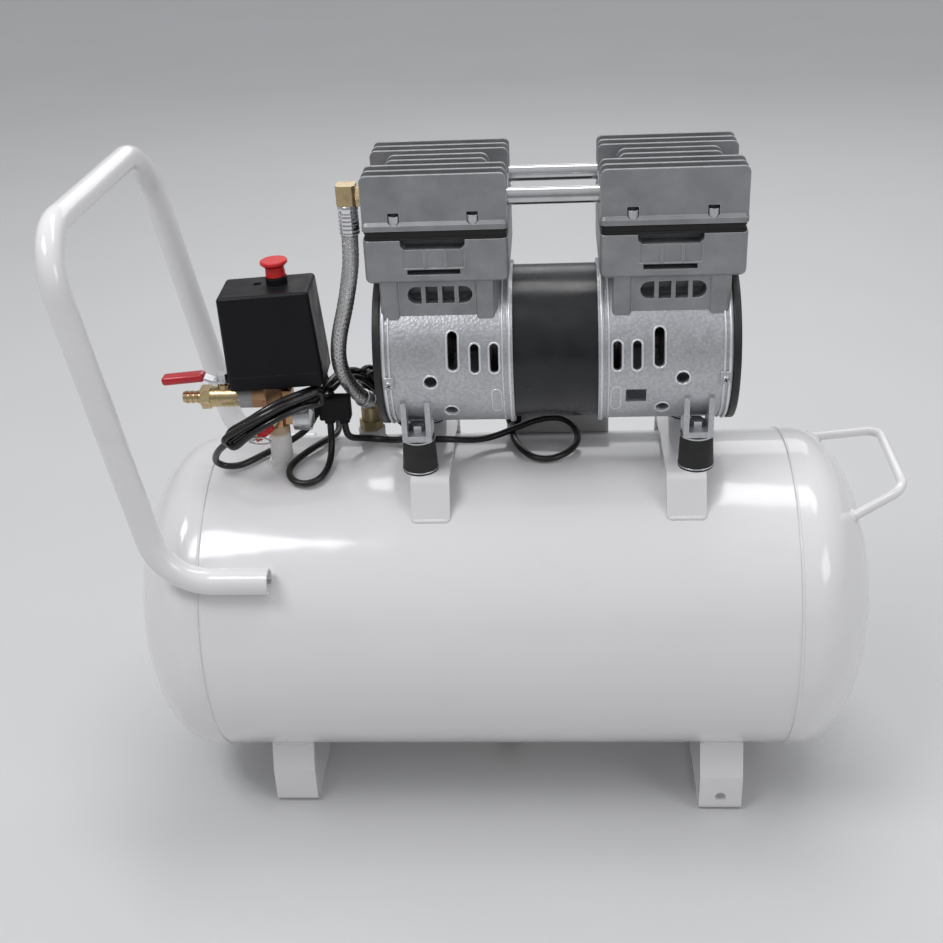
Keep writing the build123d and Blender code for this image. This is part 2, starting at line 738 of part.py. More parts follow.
def safety_valve_body():
    """Brass body with a red sleeve that marks the relief valve."""
    body = extrude(safety_frame(0) * Circle(4.6), 10)
    body += extrude(safety_frame(5) * RegularPolygon(6.0, 6, major_radius=False), 4)
    body += extrude(safety_frame(9) * Circle(6.2), 16)
    body -= extrude(safety_frame(5) * Circle(2.4), 30)
    return (body - manifold()).solids().sort_by(SortBy.VOLUME)[-1]


def safety_valve_pull():
    """Stem and wire ring that lift the safety valve off its seat."""
    stem = extrude(safety_frame(8) * Circle(2.0), 23)
    head = extrude(safety_frame(25.6) * Circle(3.4), 2.0)
    down = Vector(0.5, -0.5, -0.7)
    down = (down - SAFETY_DIR * down.dot(SAFETY_DIR)).normalized()
    lean = (down - SAFETY_DIR).normalized()
    centre = SAFETY_AT + SAFETY_DIR * 30 + lean * RING_R
    across = Plane(origin=centre, z_dir=lean.cross(SAFETY_DIR.cross(down)))
    return stem + head + across * Torus(RING_R, 0.7)


GAUGE_X = -157.5
GAUGE_Z = 333.5
GAUGE_R = 12.5
GAUGE_D = 13.0
GAUGE_REST = 135.0      # the pointer's angle at zero pressure, from straight up


def gauge_case():
    y = RISER_Y
    case = along_x(GAUGE_R, GAUGE_D, GAUGE_X + GAUGE_D / 2, y, GAUGE_Z)
    case -= along_x(GAUGE_R - 1.2, GAUGE_D, GAUGE_X + GAUGE_D / 2 + 4, y, GAUGE_Z)
    pin = along_x(1.2, 4, GAUGE_X + 6, y, GAUGE_Z)
    return case + pin


def gauge_lens():
    """Clear disc that closes the gauge."""
    return along_x(GAUGE_R - 1.2, 1.5, GAUGE_X + GAUGE_D - 1, RISER_Y, GAUGE_Z)


def gauge_needle():
    """Pointer on its hub, at rest on zero."""
    x = GAUGE_X + 8.8
    needle = block(x - 0.4, x + 0.4, -0.7, 0.7, -3, 9)
    needle += along_x(2.0, 1.4, x)
    needle = Rot(GAUGE_REST, 0, 0) * needle
    return Pos(0, RISER_Y, GAUGE_Z) * needle


def check_valve_body():
    """Brass check valve in the tank's rear bung, with an inlet that faces the hose."""
    at = (CHECK_X, CHECK_Y)
    body = hexagon(17, BUNG_TOP, BUNG_TOP + 8, *at) + upright(7.6, BUNG_TOP + 8, 324, *at)
    body += upright(PORT_R - 0.1, BUNG_TOP - 14, BUNG_TOP, *at)
    nozzle = Plane(origin=HOSE_END, z_dir=HOSE_END_DIR)
    body += extrude(nozzle * Circle(5.4), 13)
    body -= upright(4.2, 280, 318, *at)
    return body - extrude(nozzle * Circle(2.6), 10)


HOSE_ROUTE = [
    (-99.0, -28.8, 505.5),
    (-99.0, -28.8, 470.0),
    (-102.5, -28.5, 449.0),
    (-108.0, -26.0, 426.0),
    (-115.5, -20.0, 402.0),
    (-119.4, -12.0, 380.5),
    (-118.8, -2.5, 362.0),
    (-114.6, 6.5, 347.0),
    (-109.0, 13.5, 335.0),
    (-104.3, 22.5, 327.5),
]
HOSE_END = Vector(*HOSE_ROUTE[-1])
HOSE_END_DIR = (HOSE_END - Vector(*HOSE_ROUTE[-2])).normalized()


ELBOW_RISE = 3.0        # the elbow's port is this much above the transfer pipes
ELBOW_W = 14.0
ELBOW_H = 14.5
ELBOW_CHAMFER = 2.2


def elbow_fitting():
    """Brass elbow on the left head: a chamfered body, its union nut and a collar on the hose."""
    face_x = MOTOR_X - CYL_X - HEAD_W / 2
    x, _, z0 = HOSE_ROUTE[0]
    z = PORT_Z + ELBOW_RISE
    half = ELBOW_W / 2
    body = block(x - half, x + half, -PORT_Y - half, -PORT_Y + half, z0, z0 + ELBOW_H)
    body = chamfer(body.edges().filter_by(Axis.Z), ELBOW_CHAMFER)
    body += hexagon_x(13, x + half, face_x, -PORT_Y, z)
    body += along_x(4.9, 12, face_x, -PORT_Y, z)
    bore = upright(2.6, z0 - 1, z, x, -PORT_Y)
    return body - bore


def braided_hose():
    """Steel-braided delivery hose from the left head down to the check valve."""
    hose, _ = tube_along(HOSE_ROUTE, HOSE_R, 3.5)
    return hose


# ================================================================= pressure switch

SWITCH = Pos(SWITCH_X, SWITCH_Y, SWITCH_Z) * Rot(0, SWITCH_LEAN, 0) * Rot(0, 0, SWITCH_YAW)
COVER_Z = SWITCH_BASE_H
SWITCH_TOP = SWITCH_BASE_H + SWITCH_COVER_H


def switch_base():
    half_w = SWITCH_W / 2
    half_d = SWITCH_D / 2
    body = block(-half_w, half_w, -half_d, half_d, 0, SWITCH_BASE_H)
    body = fillet(body.edges().filter_by(Axis.Z), 4.0)
    body -= block(-half_w + 4, half_w - 4, -half_d + 4, half_d - 4, 4, 20)
    port = upright(7.0, LINE_Z + 9.5, SWITCH_Z + 1, RISER_X, RISER_Y)
    return SWITCH * body + port - upright(3.0, LINE_Z, SWITCH_Z + 8, RISER_X, RISER_Y)


COLLAR_R = 8.2          # raised collar under the knob
COLLAR_H = 6.0
SCREW_HOLE_AT = (KNOB_AT[0] - 15.5, KNOB_AT[1] + 2.5)
SCREW_HOLE_R = 3.2


def switch_cover():
    """Moulded box cover, hollow, with a hole for the knob's stem."""
    half_w = SWITCH_W / 2
    half_d = SWITCH_D / 2
    low = Plane.XY.offset(COVER_Z) * RectangleRounded(SWITCH_W, SWITCH_D, 3.5)
    high = Plane.XY.offset(SWITCH_TOP) * RectangleRounded(SWITCH_W - COVER_TAPER, SWITCH_D - 1, 3.5)
    body = loft([low, high])
    body = fillet(body.edges().group_by(Axis.Z)[-1], 3.0)
    inside = block(
        -half_w + 5, half_w - 5, -half_d + 3.5, half_d - 3.5, 0, SWITCH_TOP - COVER_WALL)
    body -= inside
    body += upright(COLLAR_R, SWITCH_TOP - 1, SWITCH_TOP + COLLAR_H, *KNOB_AT)
    body -= upright(5.2, 40, 100, *KNOB_AT)
    body -= upright(SCREW_HOLE_R, SWITCH_TOP - 1.2, SWITCH_TOP + 9, *SCREW_HOLE_AT)
    return SWITCH * body


def switch_knob():
    """Red mushroom pull knob on its stem."""
    stem = upright(4.8, SWITCH_TOP - 20, SWITCH_TOP + 7, *KNOB_AT)
    neck = Pos(KNOB_AT[0], KNOB_AT[1], SWITCH_TOP + 10.1) * Cone(7.6, 7.1, 7.0)
    cap = Pos(KNOB_AT[0], KNOB_AT[1], SWITCH_TOP + 15.1) * Cone(7.1, 10.4, 3.0)
    top = upright(10.4, SWITCH_TOP + 16.6, SWITCH_TOP + 19.0, *KNOB_AT)
    top = fillet(top.edges().group_by(Axis.Z)[-1], 1.2)
    return SWITCH * (stem + neck + cap + top)


def switch_mechanism():
    """Contact block and spring tower inside the cover."""
    base = block(-26, 26, -16, 16, 4.2, 20)
    tower = block(-22, -8, -10, 10, 20, 52)
    contacts = block(-4, 20, -14, 14, 20, 34)
    return SWITCH * (base + tower + contacts)


# ================================================================= cords

POWER_GLAND_AT = Vector(-143.0, 8.0, 366.0)
POWER_GLAND_LEN = 20.0
LEAD_GLAND_AT = Vector(-152.0, 14.0, 366.0)
LEAD_GLAND_LEN = 18.0
DOWN = Vector(0, 0, -1)
BACK = Vector(0, 1, 0)


def cord_glands():
    """Screwed cable glands on the switch base, one for each cord."""
    glands = []
    pairs = (
        (POWER_GLAND_AT, DOWN, POWER_GLAND_LEN),
        (LEAD_GLAND_AT, BACK, LEAD_GLAND_LEN),
    )
    for origin, direction, length in pairs:
        nut = extrude(Plane(origin=origin, z_dir=direction) * Circle(6.0), length * 0.65)
        tip = Plane(origin=origin + direction * length * 0.65, z_dir=direction)
        gland = nut + extrude(tip * Circle(4.6), length * 0.35)
        bore = Plane(origin=origin + direction * 5, z_dir=direction)
        gland -= extrude(bore * Circle(CORD_R), length)
        outside = gland - switch_base() - switch_cover() - switch_mechanism()
        glands.append(outside.solids().sort_by(SortBy.VOLUME)[-1])
    return Compound(children=glands)


OVERLOAD_X0 = -139.0
OVERLOAD_X1 = -114.0
OVERLOAD_Y0 = -13.0
OVERLOAD_Y1 = -2.0
OVERLOAD_Z0 = 326.0
OVERLOAD_Z1 = 346.0


def overload_block():
    """Black moulded box of the motor's overload cut-out, on a tab under the switch."""
    body = block(OVERLOAD_X0, OVERLOAD_X1, OVERLOAD_Y0, OVERLOAD_Y1, OVERLOAD_Z0, OVERLOAD_Z1)
    body = fillet(body.edges(), 2.0)
    tab = block(OVERLOAD_X0 - 2, OVERLOAD_X0 + 2, OVERLOAD_Y0 + 1, OVERLOAD_Y1 - 1, OVERLOAD_Z0 + 5, 366.5)
    body += tab
    for x, y, _ in (LEAD_IN_ROUTE[-1], LEAD_OUT_ROUTE[0]):
        body += upright(CORD_R + 1.6, OVERLOAD_Z0 - 3, OVERLOAD_Z0 + 1, x, y)
        body -= upright(CORD_R, OVERLOAD_Z0 - 5, OVERLOAD_Z0, x, y)
    return body - switch_base() - switch_mechanism()


# from the gland under the switch, behind the riser and round a loop to the hank
POWER_ROUTE = [
    (-143.0, 8.0, 346.0),
    (-143.0, 8.0, 334.0),
    (-146.0, 8.3, 321.0),
    (-153.5, 8.6, 309.5),
    (-164.0, 8.5, 301.5),
    (-174.0, 5.0, 297.3),
    (-183.0, -4.0, 296.4),
    (-192.5, -15.5, 295.8),
    (-203.5, -25.0, 294.2),
    (-216.0, -27.5, 295.2),
    (-222.0, -31.0, 302.0),
    (-217.0, -39.5, 313.5),
    (-209.0, -46.5, 323.0),
    (-201.0, -50.0, 329.5),
]

HANK_ROUTE = [
    (-201.0, -50.0, 329.5),
    (-187.7, -51.0, 339.3),
    (-173.0, -49.5, 347.7),
    (-158.5, -43.0, 353.5),
    (-145.0, -33.0, 355.0),
    (-134.0, -22.5, 354.5),
]

BRIDGE_ROUTE = [
    (-138.5, -27.0, 354.7),
    (-131.5, -16.0, 354.0),
    (-128.8, -3.0, 353.2),
    (-127.5, 10.0, 352.6),
    (-122.0, 24.0, 350.5),
    (-113.0, 36.0, 345.0),
]

BUNDLE_ROUTE = [
    (-116.5, 33.0, 346.5),
    (-107.0, 44.5, 339.5),
    (-99.0, 52.0, 327.0),
    (-91.5, 58.0, 310.0),
    (-83.0, 62.0, 294.0),
]

# from the gland on the back of the switch, round the loop on the tank, up to the cut-out
LEAD_IN_ROUTE = [
    (-152.0, 32.0, 366.0),
    (-152.0, 43.0, 366.0),
    (-151.0, 54.5, 359.5),
    (-148.0, 60.5, 344.5),
    (-142.5, 58.5, 325.0),
    (-137.5, 54.0, 308.0),
    (-133.5, 44.0, 294.5),
    (-134.0, 29.0, 293.8),
    (-141.0, 12.5, 296.6),
    (-151.0, -5.0, 297.0),
    (-159.5, -19.0, 295.6),
    (-164.3, -31.0, 293.4),
    (-160.5, -42.5, 290.3),
    (-149.5, -47.8, 288.6),
    (-138.0, -43.5, 290.2),
    (-132.6, -31.5, 293.9),
    (-131.2, -18.5, 299.0),
    (-131.4, -9.0, 309.5),
    (-131.5, -7.5, 323.0),
]

# from the cut-out along the tank under the motor to the capacitor's box
LEAD_OUT_ROUTE = [
    (-120.0, -7.5, 323.0),
    (-120.0, -7.0, 313.5),
    (-117.5, 0.5, 304.5),
    (-109.0, 10.5, 299.5),
    (-97.0, 13.0, 296.9),
    (-83.0, 6.5, 298.6),
    (-70.5, -6.0, 305.8),
    (-55.5, -13.0, 309.0),
    (-40.5, -13.0, 309.0),
    (-27.0, -6.0, 304.5),
    (-14.0, 3.0, 299.8),
    (0.0, 11.0, 299.4),
    (16.0, 19.0, 302.8),
    (33.5, 25.0, 307.0),
    (50.5, 25.5, 308.0),
    (62.0, 16.0, 304.5),
    (65.0, 2.0, 299.6),
    (58.5, -12.0, 296.8),
    (45.5, -22.5, 295.0),
    (31.0, -22.5, 295.0),
    (20.0, -11.0, 296.7),
    (13.5, 5.0, 297.8),
    (11.0, 21.0, 298.0),
    (11.5, 35.0, 299.5),
    (12.0, 44.0, 300.5),
]


def cord_tube(name, points):
    """A cord's tube; prints its bend radii, and its volume against section times length."""
    tube, length = tube_along(points, CORD_R)
    section = pi * CORD_R ** 2
    radii = [round(value, 1) for value in corner_radii(points)]
    print(name, "bend radii", radii)
    print(name, "length", round(length, 1), "volume ratio", round(tube.volume / (section * length), 4))
    return tube


BALL_INSET = 0.2        # the end balls are smaller than the tube, so the surfaces cross cleanly


def rounded_tube(points, radius):
    """A tube along a route with a ball at each end."""
    tube, _ = tube_along(points, radius)
    for end in (points[0], points[-1]):
        tube += Pos(*end) * Sphere(radius - BALL_INSET)
    return tube


def power_cord_hank():
    """Outer shape of the folded cord: a hank, a narrow part and a bundle behind the motor."""
    hank = rounded_tube(HANK_ROUTE, HANK_R)
    hank += tube_along(BRIDGE_ROUTE, BRIDGE_R)[0]
    hank += rounded_tube(BUNDLE_ROUTE, BUNDLE_R)
    return hank - switch_base() - tank_body(0.1)


PLUG_AT = Vector(-84.0, 76.7, 280.6)
PLUG_DIR = Vector(0.35, 0.667, -0.658).normalized()


def plug():
    """Moulded two-pin plug that hangs from the bundle against the back of the tank."""
    start = Plane(origin=PLUG_AT, x_dir=(0, -0.55, -0.83), z_dir=PLUG_DIR)
    neck = extrude(start * Circle(5.0), 14)
    body = extrude(start.offset(14) * RectangleRounded(24, 13, 5), 24)
    whole = neck + body
    for across in (-9.5, 9.5):
        whole += extrude(start.offset(38) * Pos(across, 0) * Circle(2.0), 18)
    return whole - power_cord_hank() - tank_body(0.2)


NODES = {
    "tank_shell": tank_shell,
    "tank_end_left": lambda: tank_end(-1),
    "tank_end_right": lambda: tank_end(1),
    "tank_bungs": tank_bungs,
    "foot_left": lambda: foot(-1),
    "foot_right": lambda: foot(1),
    "saddle_left": lambda: saddle(-1),
    "saddle_right": lambda: saddle(1),
    "tow_handle": tow_handle,
    "side_handle": side_handle,
    "drain_valve_body": drain_valve_body,
    "drain_valve_tap": drain_valve_tap,
    "motor_shell": motor_shell,
    "stator_core": stator_core,
    "stator_windings": stator_windings,
    "bell_left": lambda: bell(-1),
    "bell_right": lambda: bell(1),
    "end_rings": end_rings,
    "rotor": rotor,
    "bearings": bearings,
    "cooling_fans": cooling_fans,
    "eccentrics": eccentrics,
    "piston_left": lambda: piston(-1),
    "piston_right": lambda: piston(1),
    "cylinder_left": lambda: cylinder_block(-1),
    "cylinder_right": lambda: cylinder_block(1),
    "valve_plates": valve_plates,
    "head_gaskets": head_gaskets,
    "head_cover_left": lambda: head_cover(-1),
    "head_cover_right": lambda: head_cover(1),
    "head_screws": head_screws,
    "transfer_pipes": transfer_pipes,
    "rubber_mounts": rubber_mounts,
    "mount_bolts": mount_bolts,
    "capacitor_box": capacitor_box,
    "manifold": manifold,
    "ball_valve_body": ball_valve_body,
    "ball_valve_ball": ball_valve_ball,
    "ball_valve_lever": ball_valve_lever,
    "lever_grip": lever_grip,
    "hose_barb": hose_barb,
    "safety_valve_body": safety_valve_body,
    "safety_valve_pull": safety_valve_pull,
    "gauge_case": gauge_case,
    "gauge_lens": gauge_lens,
    "gauge_needle": gauge_needle,
    "check_valve_body": check_valve_body,
    "elbow_fitting": elbow_fitting,
    "braided_hose": braided_hose,
    "switch_base": switch_base,
    "switch_cover": switch_cover,
    "switch_knob": switch_knob,
    "switch_mechanism": switch_mechanism,
    "cord_glands": cord_glands,
    "power_cord_hank": power_cord_hank,
    "power_cord": lambda: cord_tube("power_cord", POWER_ROUTE) - power_cord_hank(),
    "lead_to_cutout": lambda: cord_tube("lead_to_cutout", LEAD_IN_ROUTE),
    "lead_to_motor": lambda: cord_tube("lead_to_motor", LEAD_OUT_ROUTE) - capacitor_box(),
    "overload_block": overload_block,
    "plug": plug,
}

os.makedirs("parts", exist_ok=True)
for node, make in NODES.items():
    export_step(make(), f"parts/{node}.step")
print(len(NODES), "nodes")
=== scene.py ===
"""Looks of the twin-cylinder air compressor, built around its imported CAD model."""

import math
import random

import bmesh
import bpy
from mathutils import Matrix, Vector


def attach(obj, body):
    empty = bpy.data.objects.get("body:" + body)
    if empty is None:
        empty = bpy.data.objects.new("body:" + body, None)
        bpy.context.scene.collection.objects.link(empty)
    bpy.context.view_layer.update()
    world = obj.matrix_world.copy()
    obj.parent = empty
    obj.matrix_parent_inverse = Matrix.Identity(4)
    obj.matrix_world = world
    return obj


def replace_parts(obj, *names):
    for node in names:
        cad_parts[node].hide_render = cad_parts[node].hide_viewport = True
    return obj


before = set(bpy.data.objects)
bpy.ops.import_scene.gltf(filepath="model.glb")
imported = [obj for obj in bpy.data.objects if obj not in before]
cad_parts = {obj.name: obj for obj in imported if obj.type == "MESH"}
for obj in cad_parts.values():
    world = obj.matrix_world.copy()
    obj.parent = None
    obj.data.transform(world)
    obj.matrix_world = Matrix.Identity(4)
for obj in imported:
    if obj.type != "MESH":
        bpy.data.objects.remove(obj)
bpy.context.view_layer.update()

MM = 0.001
SCENE = bpy.context.scene

# ---------- camera, floor and light
CAMERA_AT = Vector((0.0488, -0.9487, 0.7816))
CAMERA_AZIMUTH = math.radians(-4.27)
CAMERA_TILT = math.radians(28.15)
CAMERA_ROLL = math.radians(-2.85)
CAMERA_LENS = 50.89


def make_camera():
    ahead = Vector((
        math.sin(CAMERA_AZIMUTH) * math.cos(CAMERA_TILT),
        math.cos(CAMERA_AZIMUTH) * math.cos(CAMERA_TILT),
        -math.sin(CAMERA_TILT)))
    right = Vector((math.cos(CAMERA_AZIMUTH), -math.sin(CAMERA_AZIMUTH), 0))
    up = right.cross(ahead)
    side = right * math.cos(CAMERA_ROLL) + up * math.sin(CAMERA_ROLL)
    top = up * math.cos(CAMERA_ROLL) - right * math.sin(CAMERA_ROLL)
    data = bpy.data.cameras.new("camera")
    data.sensor_width = 36
    data.lens = CAMERA_LENS
    data.clip_start = 0.01
    data.clip_end = 50
    camera = bpy.data.objects.new("camera", data)
    SCENE.collection.objects.link(camera)
    turn = Matrix((side, top, -ahead)).transposed().to_4x4()
    camera.matrix_world = Matrix.Translation(CAMERA_AT) @ turn
    SCENE.camera = camera


def area_light(name, place, aim, size, power):
    data = bpy.data.lights.new(name, "AREA")
    data.shape = "RECTANGLE"
    data.size, data.size_y = size
    data.energy = power
    lamp = bpy.data.objects.new(name, data)
    SCENE.collection.objects.link(lamp)
    lamp.location = place
    lamp.rotation_mode = "QUATERNION"
    lamp.rotation_quaternion = (Vector(aim) - Vector(place)).to_track_quat("-Z", "Y")


make_camera()

# ---------- node material helpers


class Nodes:
    """Short ways to make and link the nodes of one material."""

    def __init__(self, name):
        self.material = bpy.data.materials.new(name)
        self.material.use_nodes = True
        self.tree = self.material.node_tree
        self.shader = self.tree.nodes["Principled BSDF"]
        self.coords = self.tree.nodes.new("ShaderNodeTexCoord").outputs["Object"]

    def add(self, kind, **values):
        node = self.tree.nodes.new(kind)
        for key, value in values.items():
            setattr(node, key, value)
        return node

    def feed(self, value, socket):
        if isinstance(value, bpy.types.NodeSocket):
            self.tree.links.new(value, socket)
        else:
            socket.default_value = value

    def noise(self, scale, detail=3.0, coords=None, rough=0.5, stretch=None):
        node = self.add("ShaderNodeTexNoise")
        node.inputs["Scale"].default_value = scale
        node.inputs["Detail"].default_value = detail
        node.inputs["Roughness"].default_value = rough
        source = coords or self.coords
        if stretch:
            source = self.stretched(source, stretch)
        self.feed(source, node.inputs["Vector"])
        return node.outputs["Fac"]

    def stretched(self, coords, scale):
        node = self.add("ShaderNodeMapping")
        node.inputs["Scale"].default_value = scale
        self.feed(coords, node.inputs["Vector"])
        return node.outputs["Vector"]

    def cells(self, scale, feature="F1", smooth=0.6):
        node = self.add("ShaderNodeTexVoronoi", feature=feature)
        node.inputs["Scale"].default_value = scale
        if feature == "SMOOTH_F1":
            node.inputs["Smoothness"].default_value = smooth
        self.feed(self.coords, node.inputs["Vector"])
        return node.outputs["Distance"]

    def ramp(self, value, low, high, to_low=0.0, to_high=1.0):
        node = self.add("ShaderNodeMapRange")
        self.feed(value, node.inputs["Value"])
        limits = {"From Min": low, "From Max": high, "To Min": to_low, "To Max": to_high}
        for key, limit in limits.items():
            node.inputs[key].default_value = limit
        return node.outputs["Result"]

    def math(self, operation, a, b=0.0):
        node = self.add("ShaderNodeMath", operation=operation)
        self.feed(a, node.inputs[0])
        self.feed(b, node.inputs[1])
        return node.outputs[0]

    def mix(self, share, a, b):
        node = self.add("ShaderNodeMix", data_type="RGBA")
        self.feed(share, node.inputs["Factor"])
        self.feed(a if isinstance(a, bpy.types.NodeSocket) else (*a, 1), node.inputs["A"])
        self.feed(b if isinstance(b, bpy.types.NodeSocket) else (*b, 1), node.inputs["B"])
        return node.outputs["Result"]

    def axis(self, letter):
        node = self.add("ShaderNodeSeparateXYZ")
        self.feed(self.coords, node.inputs[0])
        return node.outputs[letter]

    def rounded(self, radius):
        """The normal as if each sharp edge had that radius, and a mask of the edges."""
        bevel = self.add("ShaderNodeBevel", samples=4)
        bevel.inputs["Radius"].default_value = radius
        plain = self.add("ShaderNodeNewGeometry").outputs["Normal"]
        dot = self.add("ShaderNodeVectorMath", operation="DOT_PRODUCT")
        self.feed(bevel.outputs[0], dot.inputs[0])
        self.feed(plain, dot.inputs[1])
        return bevel.outputs[0], self.ramp(dot.outputs["Value"], 0.995, 0.86)

    def bump(self, height, strength, distance, normal=None):
        node = self.add("ShaderNodeBump")
        node.inputs["Strength"].default_value = strength
        node.inputs["Distance"].default_value = distance
        self.feed(height, node.inputs["Height"])
        if normal is not None:
            self.feed(normal, node.inputs["Normal"])
        return node.outputs["Normal"]

    def finish(self, colour=None, rough=None, normal=None, **plain):
        if colour is not None:
            self.feed(colour if isinstance(colour, bpy.types.NodeSocket) else (*colour, 1),
                      self.shader.inputs["Base Color"])
        if rough is not None:
            self.feed(rough, self.shader.inputs["Roughness"])
        if normal is not None:
            self.feed(normal, self.shader.inputs["Normal"])
        for key, value in plain.items():
            label = key.replace("_", " ").title().replace("Ior", "IOR")
            self.shader.inputs[label].default_value = value
        return self.material


def shade(colour, factor):
    return tuple(channel * factor for channel in colour)


def coated(name, colour, rough, edge_r, peel=0.12, peel_scale=520.0, wave=0.0, spread=0.05,
           worn=None, worn_share=0.0, dusty=0.0, **plain):
    """Paint, plastic or a cast metal: mottled colour, a skin of fine grain, softened and
    worn edges, and dust where faces look up."""
    n = Nodes(name)
    normal, edges = n.rounded(edge_r)
    blotch = n.noise(26, 5)
    fine = n.noise(peel_scale, 2)
    base = n.mix(n.ramp(blotch, 0.3, 0.7), shade(colour, 1 - spread), shade(colour, 1 + spread))
    if worn:
        nicks = n.math("MULTIPLY", edges, n.ramp(n.noise(190, 4), 0.42, 0.62, 0.15, worn_share))
        base = n.mix(nicks, base, worn)
    if dusty:
        up = n.add("ShaderNodeSeparateXYZ")
        n.feed(n.add("ShaderNodeNewGeometry").outputs["Normal"], up.inputs[0])
        share = n.math("MULTIPLY", n.ramp(up.outputs["Z"], 0.2, 1.0, 0.0, dusty),
                       n.ramp(n.noise(75, 6), 0.35, 0.75))
        base = n.mix(share, base, (0.30, 0.28, 0.25))
    gloss = n.ramp(n.noise(60, 4), 0.3, 0.7, rough * 0.82, rough * 1.22)
    if wave:
        normal = n.bump(n.noise(34, 2), 0.35, wave, normal)
    normal = n.bump(fine, peel, 0.0004, normal)
    return n.finish(base, gloss, normal, **plain)


def metal(name, colour, rough, edge_r=0.0003, brushed=None, stain=(0.35, 0.30, 0.24),
          stain_share=0.25, **plain):
    """Bare metal with machining lines, small dents and light tarnish."""
    n = Nodes(name)
    normal, edges = n.rounded(edge_r)
    tarnish = n.ramp(n.noise(130, 5), 0.5, 0.75, 0.0, stain_share)
    base = n.mix(tarnish, n.mix(n.ramp(n.noise(35, 3), 0.3, 0.7), shade(colour, 0.93),
                                shade(colour, 1.05)), stain)
    base = n.mix(n.math("MULTIPLY", edges, 0.5), base, shade(colour, 1.15))
    lines = n.noise(400, 3, stretch=brushed or (1, 1, 1))
    gloss = n.math("ADD", n.ramp(lines, 0.3, 0.7, rough * 0.8, rough * 1.25),
                   n.math("MULTIPLY", tarnish, 0.35))
    normal = n.bump(lines, 0.12, 0.0002, normal)
    return n.finish(base, gloss, normal, metallic=1.0, **plain)


def tank_paint():
    """Glossy powder coat: faint orange peel, slow waves and a few small chips and smears."""
    n = Nodes("paint_white")
    normal, edges = n.rounded(0.0008)
    white = (0.815, 0.808, 0.818)
    base = n.mix(n.ramp(n.noise(9, 4), 0.3, 0.7), shade(white, 0.975), white)
    smear = n.ramp(n.noise(14, 6, rough=0.62, stretch=(1, 1, 2.2)), 0.62, 0.78, 0.0, 0.16)
    base = n.mix(smear, base, (0.60, 0.585, 0.55))
    grime = n.math("MULTIPLY", edges, n.ramp(n.noise(120, 4), 0.5, 0.7, 0.0, 0.35))
    base = n.mix(grime, base, (0.42, 0.40, 0.37))
    chip = n.ramp(n.cells(31), 0.020, 0.014)
    chip = n.math("MULTIPLY", chip, n.ramp(n.noise(6, 2), 0.55, 0.6))
    base = n.mix(chip, base, (0.10, 0.08, 0.07))
    gloss = n.math("ADD", n.ramp(n.noise(22, 5), 0.3, 0.7, 0.11, 0.18),
                   n.math("MULTIPLY", smear, 0.8))
    normal = n.bump(n.noise(16, 2), 0.30, 0.004, normal)
    normal = n.bump(n.noise(420, 2), 0.05, 0.0005, normal)
    return n.finish(base, gloss, normal, coat_weight=0.35, coat_roughness=0.08)


def hammered_silver():
    """Cast aluminium under silver hammer-finish paint."""
    n = Nodes("hammered_silver")
    normal, edges = n.rounded(0.0007)
    silver = (0.55, 0.56, 0.585)
    cells = n.cells(430, "SMOOTH_F1", 0.5)
    base = n.mix(n.ramp(cells, 0.1, 0.75), shade(silver, 1.10), shade(silver, 0.86))
    base = n.mix(n.ramp(n.noise(38, 5), 0.42, 0.75, 0.0, 0.35), base, shade(silver, 0.72))
    base = n.mix(n.math("MULTIPLY", edges, 0.75), base, (0.86, 0.87, 0.88))
    normal = n.bump(cells, 0.24, 0.0007, normal)
    normal = n.bump(n.noise(900, 2), 0.10, 0.0003, normal)
    gloss = n.ramp(n.noise(90, 3), 0.3, 0.7, 0.30, 0.44)
    return n.finish(base, gloss, normal, metallic=0.62)


def cast_grey():
    """Satin grey die-cast aluminium with bright, rubbed edges."""
    n = Nodes("cast_grey")
    normal, edges = n.rounded(0.0008)
    grey = (0.31, 0.313, 0.325)
    base = n.mix(n.ramp(n.noise(55, 6), 0.3, 0.72), shade(grey, 0.86), shade(grey, 1.12))
    flow = n.ramp(n.noise(24, 5, stretch=(1, 1, 3)), 0.55, 0.8, 0.0, 0.3)
    base = n.mix(flow, base, shade(grey, 0.68))
    rub = n.math("MULTIPLY", edges, n.ramp(n.noise(150, 4), 0.3, 0.6, 0.45, 1.0))
    base = n.mix(rub, base, (0.66, 0.67, 0.68))
    normal = n.bump(n.noise(620, 4), 0.30, 0.0004, normal)
    normal = n.bump(n.cells(1500), 0.10, 0.0002, normal)
    gloss = n.ramp(n.noise(70, 4), 0.3, 0.7, 0.36, 0.52)
    return n.finish(base, gloss, normal, metallic=0.55)


def stator_black():
    """Semi-gloss black enamel over the laminated stator."""
    n = Nodes("stator_black")
    normal, edges = n.rounded(0.0005)
    black = (0.008, 0.009, 0.011)
    base = n.mix(n.ramp(n.noise(45, 5), 0.4, 0.8), black, (0.020, 0.021, 0.024))
    base = n.mix(n.math("MULTIPLY", edges, 0.4), base, (0.09, 0.09, 0.095))
    sheets = n.add("ShaderNodeTexWave", bands_direction="X")
    sheets.inputs["Scale"].default_value = 320
    sheets.inputs["Distortion"].default_value = 0.3
    n.feed(n.coords, sheets.inputs["Vector"])
    normal = n.bump(sheets.outputs["Fac"], 0.05, 0.0002, normal)
    normal = n.bump(n.noise(260, 3), 0.10, 0.0004, normal)
    gloss = n.ramp(n.noise(50, 4), 0.3, 0.7, 0.24, 0.36)
    return n.finish(base, gloss, normal, specular_ior_level=0.4, coat_weight=0.2,
                    coat_roughness=0.15)


